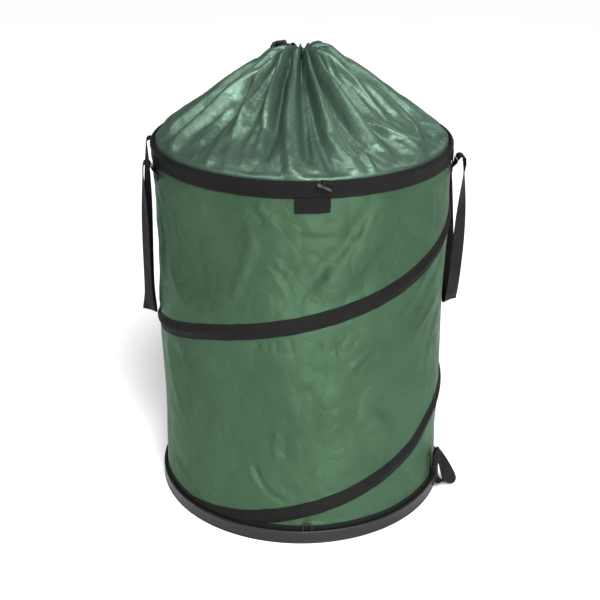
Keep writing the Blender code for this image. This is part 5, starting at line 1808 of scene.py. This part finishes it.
@dataclass
class CordLock:
    """The sprung lock on the cords: a grooved barrel, a press button and the spring between them."""
    angle: float = 120.0
    reach: float = 0.075
    height: float = 0.8691
    radius: float = 0.00625
    closed_end: float = -0.0139
    open_end: float = 0.0066
    bore: float = 0.0042
    slot_half: float = 0.0033
    slot_height: float = 0.0034
    plunger: float = 0.0039
    tail: float = -0.0049
    neck: float = 0.0099
    button: float = 0.005
    button_end: float = 0.0131
    spring_radius: float = 0.003
    spring_wire: float = 0.0005
    spring_turns: int = 4
    press: float = 0.0031  # how much shorter the spring is when the button is pressed
    wall: float = 0.0015
    grooves: int = 3
    groove_pitch: float = 0.0022
    groove_depth: float = 0.0004
    steps: int = 48

    def place(self) -> Matrix:
        """Places a shape modelled along Z so that Z runs across the cords, its zero at the cords."""
        out, across = outward(self.angle), sideways(self.angle)
        turn = Matrix((out, across.cross(out), across)).transposed().to_4x4()
        return Matrix.Translation(out * self.reach + Vector((0, 0, self.height))) @ turn

    def passage(self, low: float, high: float) -> Piece:
        """Makes the cutter for the two cords' way through.

        Args:
            low: where it starts across the cords.
            high: where it ends.

        Returns:
            The cutter.
        """
        bm = bmesh.new()
        bmesh.ops.create_cube(bm, size=1.0,
            matrix=self.place() @ Matrix.Translation((0, 0, (low + high) / 2))
            @ Matrix.Diagonal((0.02, self.slot_height, high - low, 1.0)))
        bmesh.ops.bevel(bm, geom=bm.edges[:], offset=0.0006, affect="EDGES", segments=3, profile=0.5,
            material=-1)
        return finished("passage_tool", bm)

    def build(self) -> None:
        """Makes the barrel, the plunger and the spring."""
        corners = [(0.0, self.closed_end), (self.radius, self.closed_end)]
        sunk, seat_height = self.radius - self.groove_depth, self.closed_end + self.wall
        for number in range(self.grooves):
            groove = self.closed_end + 0.0024 + number * self.groove_pitch
            corners += [(self.radius, groove), (sunk, groove + 0.0004), (sunk, groove + 0.0009),
                (self.radius, groove + 0.0013)]
        corners += [(self.radius, self.open_end), (self.bore, self.open_end), (self.bore, seat_height),
            (0.0, seat_height)]
        shape = turned(rounded(corners, 0.0009, closed=False), self.steps)
        barrel = finished("lock_barrel", moved(shape, self.place()), 40.0)
        bored(barrel, self.passage(-self.slot_half, self.slot_half))
        dress(barrel, LOCK_PLASTIC, "cord_lock", "lock_plastic", "cord_lock_body")
        corners = [(0.0, self.tail), (self.plunger, self.tail), (self.plunger, self.neck),
            (self.button, self.neck), (self.button, self.button_end - 0.0006),
            (self.button * 0.7, self.button_end), (0.0, self.button_end - 0.0004)]
        shape = turned(rounded(corners, 0.0007, closed=False), self.steps)
        plunger = finished("lock_button", moved(shape, self.place()), 40.0)
        bored(plunger, self.passage(-self.slot_half, self.slot_half + 0.003))
        dress(plunger, LOCK_PLASTIC, "cord_lock_plunger", "lock_plastic", "cord_lock_plunger")
        start = seat_height + CLEARANCE + self.spring_wire / 2
        length = self.tail - CLEARANCE - self.spring_wire / 2 - start
        route, count = [], 24 * self.spring_turns
        for number in range(count + 1):
            turn = 2 * pi * self.spring_turns * number / count
            route.append(self.place()
                @ (polar(degrees(turn), self.spring_radius, 0.0) + UP * (start + length * number / count)))
        spring = tube(route, self.spring_wire, 8, side=sideways(self.angle))
        coil = dress(finished("lock_spring", spring, 80.0), SPRING_STEEL, "cord_lock", "spring_steel",
            "cord_lock_spring")
        seat = self.place() @ (UP * (start - self.spring_wire / 2))
        along = self.place().to_3x3() @ UP
        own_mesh(coil)


@dataclass
class BlankLabel:
    """The blank woven label that hangs from the rim tape, its lower corner lifted a little."""
    angle: float = -91.3
    width: float = 0.061
    height: float = 0.0265
    low: float = 0.659
    inner: float = 0.2801
    thickness: float = 0.0008
    lift: float = 0.0046  # how far its lower right corner stands off
    curl: float = 0.003  # how far that corner is drawn up
    bow: float = 0.0006
    seam: float = 0.0022  # how far the stitches lie below its top
    seam_share: float = 0.95
    seam_pitch: float = 0.0026
    columns: int = 56
    rows: int = 26

    def build(self) -> None:
        """Makes the label and its stitches."""
        up, across = np.linspace(0.0, 1.0, self.rows + 1), np.linspace(0.0, 1.0, self.columns + 1)
        y, x = np.meshgrid(up, across, indexing="ij")
        sweep = degrees(self.width / self.inner)
        corner = np.clip((x - 0.62) / 0.38, 0.0, 1.0) * np.clip((0.55 - y) / 0.55, 0.0, 1.0)
        bow = self.bow * np.sin(np.pi * x) * (1 - y) ** 2
        radius = self.inner + self.thickness + self.lift * corner ** 1.5 + bow
        turn = np.radians(self.angle + sweep * (x - 0.5) - 0.35 * corner)
        height = self.low + self.height * y + self.curl * corner ** 1.6
        places = round_grid(turn, radius, height)
        bm = face_away(wrapped(places, np.stack([x * self.width, y * self.height], axis=-1)))
        bmesh.ops.solidify(bm, geom=bm.faces[:], thickness=self.thickness)
        label = dress(finished("blank_label", bm, 60.0), LABEL_RIBBON, "rim", "label", "label")
        half = sweep / 2 * self.seam_share
        sew_round("label_stitches", self.inner + self.thickness + 0.00025, self.low + self.height - self.seam,
                  "rim", "label", self.seam_pitch, 0.0019, 0.0004, (self.angle - half, self.angle + half))


# -------- handles, loop and closures

class Side(Enum):
    """The two sides of the bag that carry a handle."""
    RIGHT = 1
    LEFT = -1

    @property
    def handle(self) -> str:
        """The CAD name of this side's handle."""
        return f"{self.name.lower()}_handle"


@dataclass
class CarryHandle:
    """A long webbing handle that hangs from two folds, twisted at its lowest point."""
    side: Side
    width: float = 0.03
    web: float = 0.0015
    spread: float = 0.0775
    fold: float = 0.007
    fold_place: float = 0.285319
    fold_height: float = 0.685
    hang: float = 0.318
    bulge: float = 0.0055
    twist: float = -70.0
    end_low: float = 0.659
    end_length: float = 0.041
    box: Pair = (0.0265, 0.0388)  # the stitched box's foot and top, above end_low
    tongue: float = 0.02
    patch: float = 0.28085
    fold_sweep: float = 150.0  # how far round its fold the strap goes
    fold_steps: int = 12
    leg_steps: int = 9
    end_steps: int = 24
    tongue_steps: int = 20
    spread_shares: Numbers = (1.0, 0.97, 0.88, 0.72, 0.52, 0.32, 0.13, 0.0)
    hang_shares: Numbers = (0.02, 0.15, 0.35, 0.55, 0.74, 0.88, 0.97, 1.0)
    bulge_shares: Numbers = (0.0, 0.1, 0.3, 0.55, 0.78, 0.92, 1.0, 1.0)
    twist_shares: Numbers = (0.0, 0.2, 0.38, 0.42, 0.43, 0.5, 0.78, 1.0)
    right_shares: Numbers = (0.0, 0.34, 0.68, 0.84, 0.86, 0.88, 0.94, 1.0)

    def route(self) -> tuple[list[Vector], list[Vector]]:
        """Lays the strap out for the right side.

        Returns:
            Its middle line, and the direction that it faces at each point.
        """
        points, faces = [], []
        for number in range(self.fold_steps + 1):
            turn = radians(180 - self.fold_sweep * number / self.fold_steps)
            run = Vector((cos(turn), 0, sin(turn)))
            points.append(Vector((self.fold_place, self.spread, self.fold_height)) + run * self.fold)
            faces.append(run)
        steps, leg = self.leg_steps, self.fold_place + self.fold
        rows = (len(self.hang_shares) - 1) * steps
        for number in range(rows + 1):
            place = number / steps
            points.append(
                Vector((leg + self.bulge * on_curve(self.bulge_shares, place),
                self.spread * on_curve(self.spread_shares, place),
                self.fold_height - self.hang * on_curve(self.hang_shares, place))))
            faces.append(Vector((1, 0, 0)))
        directions = tangents(points)
        for number in range(rows + 1):
            row = number + len(points) - rows - 1
            shares = self.right_shares if self.side is Side.RIGHT else self.twist_shares
            angle = radians(self.twist * on_curve(shares, number / steps))
            along = directions[row] if number < rows else Vector((0, -1, 0))
            face = (faces[row] - along * faces[row].dot(along)).normalized()
            faces[row] = Matrix.Rotation(angle, 3, along) @ face
        back = Matrix.Diagonal((1, -1, 1))
        far_points = [back @ point for point in reversed(points[:-1])]
        far_faces = [back @ face for face in reversed(faces[:-1])]
        middle, share_rows = faces[-1], 4 * steps // 3
        for number in range(share_rows):
            share = (number + 1) / (share_rows + 1)
            far_faces[number] = (middle * (1 - share) + far_faces[number] * share).normalized()
        return points + far_points, faces + far_faces

    def strap_end(self, flip: int) -> None:
        """Makes one end, stitched flat to the rim, with the tongue that leads out to the handle's fold.

        Args:
            flip: 1 for the end at the back, -1 for the one at the front.
        """
        angle = asin(self.spread / self.patch)
        lead = self.fold_place - self.fold - self.web - CLEARANCE
        middle = self.patch * cos(angle)
        mirror = Matrix.Diagonal((self.side.value, flip, 1))
        away = Vector((cos(angle), sin(angle), 0.0))
        name = f"{self.side.handle}_end_{'back' if flip > 0 else 'front'}"
        points, faces = [], []
        for number in range(self.end_steps + 1):
            height = self.end_low + self.end_length * number / self.end_steps
            points.append(mirror @ Vector((middle, self.spread, height)))
            faces.append(mirror @ away)
        piece = finished(f"{name}_strap", strap(points, faces, self.width - 0.0002, self.web - 0.0001), 60.0)
        dress(piece, WEBBING, "rim", "webbing", name)
        root = self.fold_height - self.tongue
        points, faces = [], []
        for number in range(self.tongue_steps + 1):
            part = number / self.tongue_steps
            leave = float(smoothstep(0.08, 0.95, np.array(part)))
            spot = Vector((middle, self.spread, 0.0)).lerp(Vector((lead, self.spread, 0.0)), leave)
            points.append(mirror @ Vector((spot.x, spot.y, root + self.tongue * part)))
            turn = angle * (1 - leave)
            faces.append(mirror @ Vector((cos(turn), sin(turn), 0.0)))
        tongue = finished(f"{name}_tongue", strap(points, faces, self.width - 0.0003, self.web - 0.0002),
            60.0)
        dress(tongue, WEBBING, "rim", "webbing")
        face = mirror @ away
        base = mirror @ Vector((middle, self.spread, self.end_low)) + face * (self.web / 2 + STITCH_LIFT)
        bm = crossed_box(bmesh.new(), base, UP.cross(face), face, self.width / 2 - BOX_MARGIN, *self.box)
        dress(finished(f"{name}_stitches", bm, 80.0), THREAD, "rim", "webbing")

    def build(self) -> None:
        """Makes the handle and its two ends."""
        points, faces = self.route()
        mirror = Matrix.Diagonal((self.side.value, 1, 1))
        points, faces = [mirror @ point for point in points], [mirror @ face for face in faces]
        piece = finished(f"{self.side.handle}_strap", strap(points, faces, self.width, self.web), 60.0)
        dress(piece, WEBBING, self.side.handle, "webbing", self.side.handle)
        self.strap_end(-1)
        self.strap_end(1)


@dataclass
class TippingLoop:
    """The webbing loop near the ground, by which the full bag is tipped out."""
    angle: float = -22.5
    width: float = 0.03
    web: float = 0.0015
    tab_radius: float = 0.28235
    hinge: float = 0.28715
    top: float = 0.08
    fold: float = 0.003
    inner: float = 0.2896
    spread: float = 0.027
    low: float = 0.0125
    tab_steps: int = 20
    fold_steps: int = 12
    box: Pair = (0.034, 0.06)  # the stitched box's foot and top
    reaches: Numbers = (0.26, 0.63, 0.93, 1.0, 0.88, 0.57, 0.24, 0.04, 0.0, 0.0)
    heights: Numbers = (0.84, 0.52, 0.23, 0.11, 0.04, 0.0, 0.0, 0.08, 0.3, 0.66)
    twist: float = 60.0
    twist_shares: Numbers = (0.0, 0.15, 0.5, 0.85, 1.0, 0.9, 0.5, 0.15, 0.0, 0.0, 0.0, 0.0)

    def build(self) -> None:
        """Makes the stitched tab and the loop that hangs from it."""
        place = Matrix.Rotation(radians(self.angle), 4, "Z")
        low, high, steps = TRAY_TOP + CLEARANCE, self.top + self.fold, self.tab_steps
        points = [Vector((self.tab_radius, 0, low + (high - low) * number / steps))
            for number in range(steps + 1)]
        tab = strap(points, [Vector((1, 0, 0))] * len(points), self.width, self.web)
        dress(finished("tipping_tab", moved(tab, place), 60.0), WEBBING, "base", "webbing",
            "tipping_loop_tab")
        base = Vector((self.tab_radius + self.web / 2 + STITCH_LIFT, 0, 0))
        bm = crossed_box(bmesh.new(), base, Vector((0, 1, 0)), Vector((1, 0, 0)),
            self.width / 2 - BOX_MARGIN, *self.box)
        dress(finished("tipping_tab_stitches", moved(bm, place), 80.0), THREAD, "base", "webbing")
        hinge = Vector((self.hinge, 0, self.top))
        fold = []
        for number in range(self.fold_steps + 1):
            bend = radians(180 - 180 / self.fold_steps * number)
            fold.append(hinge + Vector((cos(bend), 0, sin(bend))) * self.fold)
        loop = [fold[-1]]
        for reach, height in zip(self.reaches, self.heights):
            loop.append(Vector((self.inner + self.spread * reach, 0,
                self.low + (self.top - self.low) * height)))
        route = fold + smooth_route(loop + [fold[0]], 6)[1:-1]
        centre = sum(route, Vector()) / len(route)
        turns = [0.0] * len(fold) + smooth_route(self.twist_shares, 6)[1:-1]
        faces = []
        for along, turn in zip(tangents(route, ring=True), turns):
            twist = Matrix.Rotation(radians(self.twist * turn), 3, along)
            faces.append(twist @ along.cross(Vector((0, 1, 0))))
        if faces[6].dot(route[6] - centre) < 0:
            faces = [-face for face in faces]
        shape = strap(route, faces, self.width, self.web, ring=True)
        piece = finished("tipping_strap", moved(shape, place), 60.0)
        dress(piece, WEBBING, "tipping_loop", "webbing", "tipping_loop")


@dataclass
class Closure:
    """A toggle on the rim with its tab and cord, and the cord loop below it at the base."""
    number: int
    toggle_angle: float = -87.6
    loop_angle: float = -92.4
    tab_width: float = 0.008
    tab: float = 0.0012
    tab_from: float = 118.0
    tab_to: float = 50.0
    cord: float = 0.0024
    length: float = 0.028
    radius: float = 0.0035
    waist: float = 0.0026
    nose: float = 0.0016  # length of the toggle's slanted end
    tilt: float = 24.0
    toggle_place: float = 0.2851
    toggle_height: float = 0.7055
    loop_place: float = 0.2829
    loop_cord: float = 0.003
    loop_half: float = 0.0085
    loop_leg: float = 0.0077

    @property
    def step(self) -> float:
        """How far round the bag this closure is from the first."""
        return 120.0 * (self.number - 1)

    def tab_and_cord(self) -> None:
        """Makes the tab over the bead and the short cord that the toggle hangs on."""
        turn = Matrix.Rotation(radians(self.toggle_angle + self.step), 4, "Z")
        off = CLEARANCE + self.tab / 2
        points, faces = [], []
        for row in range(25):
            place = radians(self.tab_from + (self.tab_to - self.tab_from) * row / 24)
            points.append(
                Vector((BEAD_RADIUS + (BEAD_REACH + off) * cos(place), 0,
                BEAD_HEIGHT + (BEAD_RISE + off) * sin(place))))
            faces.append(Vector((cos(place), 0, sin(place))))
        shape = strap(points, faces, self.tab_width, self.tab)
        piece = finished(f"closure_tab_{self.number}", moved(shape, turn), 60.0)
        dress(piece, WEBBING, "rim", "webbing", f"toggle_tab_{self.number}")
        eye = points[-1] + faces[-1] * (self.tab / 2 + CLEARANCE + self.cord / 2)
        tilt = radians(self.tilt)
        rest = self.waist / cos(tilt) + self.cord / 2 * tan(tilt) + 0.0006
        waist = Vector((self.toggle_place, 0, self.toggle_height + rest))
        shift = waist - eye
        route = smooth_route([eye, eye + Vector((shift.x * 0.6, 0, shift.z * 0.12)),
            eye + Vector((shift.x * 0.96, 0, shift.z * 0.5)), waist], 6)
        piece = finished(f"closure_cord_{self.number}",
            moved(tube(route, self.cord, 12, side=Vector((0, 1, 0))), turn), 80.0)
        dress(piece, CORDAGE, f"toggle_{self.number}", "cord", f"toggle_cord_{self.number}")

    def toggle(self) -> None:
        """Makes the waisted toggle, tilted as it hangs."""
        half, groove = self.length / 2, self.cord + CLEARANCE
        shoulder = half - self.nose
        corners = [(0.0, -half), (self.radius * 0.7, -half), (self.radius, -shoulder),
            (self.radius, -groove), (self.waist, -groove * 0.7), (self.waist, groove * 0.7),
            (self.radius, groove), (self.radius, shoulder), (self.radius * 0.7, half), (0.0, half)]
        lean = (Matrix.Rotation(radians(self.toggle_angle + self.step), 4, "Z")
            @ Matrix.Translation((self.toggle_place, 0, self.toggle_height))
            @ Matrix.Rotation(radians(-self.tilt), 4, "X") @ Matrix.Rotation(radians(90), 4, "X"))
        bm = moved(turned(rounded(corners, 0.0009, 4, False), 40), lean)
        dress(finished(f"closure_toggle_{self.number}", bm, 50.0), TOGGLE_PLASTIC, f"toggle_{self.number}",
            "toggle_plastic", f"toggle_{self.number}")

    def base_loop(self) -> None:
        """Makes the cord loop just above the tray, for the toggle when the bag is packed flat."""
        low = TRAY_TOP + CLEARANCE
        arch = [Vector((self.loop_place, self.loop_half, low)),
            Vector((self.loop_place, self.loop_half, low + self.loop_leg / 2))]
        for row in range(17):
            bend = pi * row / 16
            arch.append(Vector((self.loop_place, self.loop_half * cos(bend),
                low + self.loop_leg + self.loop_half * sin(bend))))
        arch += [Vector((self.loop_place, -self.loop_half, low + self.loop_leg / 2)),
            Vector((self.loop_place, -self.loop_half, low))]
        turn = Matrix.Rotation(radians(self.loop_angle + self.step), 4, "Z")
        bm = moved(tube(arch, self.loop_cord, 12, side=Vector((1, 0, 0))), turn)
        dress(finished(f"closure_base_loop_{self.number}", bm, 80.0), CORDAGE, "base", "cord",
            f"closure_loop_{self.number}")

    def build(self) -> None:
        """Makes the whole closure."""
        self.tab_and_cord()
        self.toggle()
        self.base_loop()


def finish_frame_nodes() -> None:
    """Gives the CAD nodes that still show a fuller finish on their own slots."""
    for name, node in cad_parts.items():
        if node.hide_render:
            continue
        finish = RIVET_METAL if name.startswith("tray_rivet") else SPRING_STEEL
        for holder in node.material_slots:
            holder.material = finish.material()
        report.info("%s keeps its CAD shape", name)


def main() -> None:
    """Builds the studio and the bag from the ground up."""
    logging.basicConfig(level=logging.INFO, format="%(message)s", stream=sys.stdout)
    Studio().build()
    for part in (MouldedTray(), FloorCloth(), BaseHem(), BagWall(), SpiralSpring(), RimTape(),
            GatheredCollar(), DrawCord(), CordLock(), BlankLabel(), CarryHandle(Side.RIGHT),
            CarryHandle(Side.LEFT), TippingLoop(), Closure(1), Closure(2), Closure(3)):
        part.build()
    finish_frame_nodes()


if __name__ == "__main__":
    main()
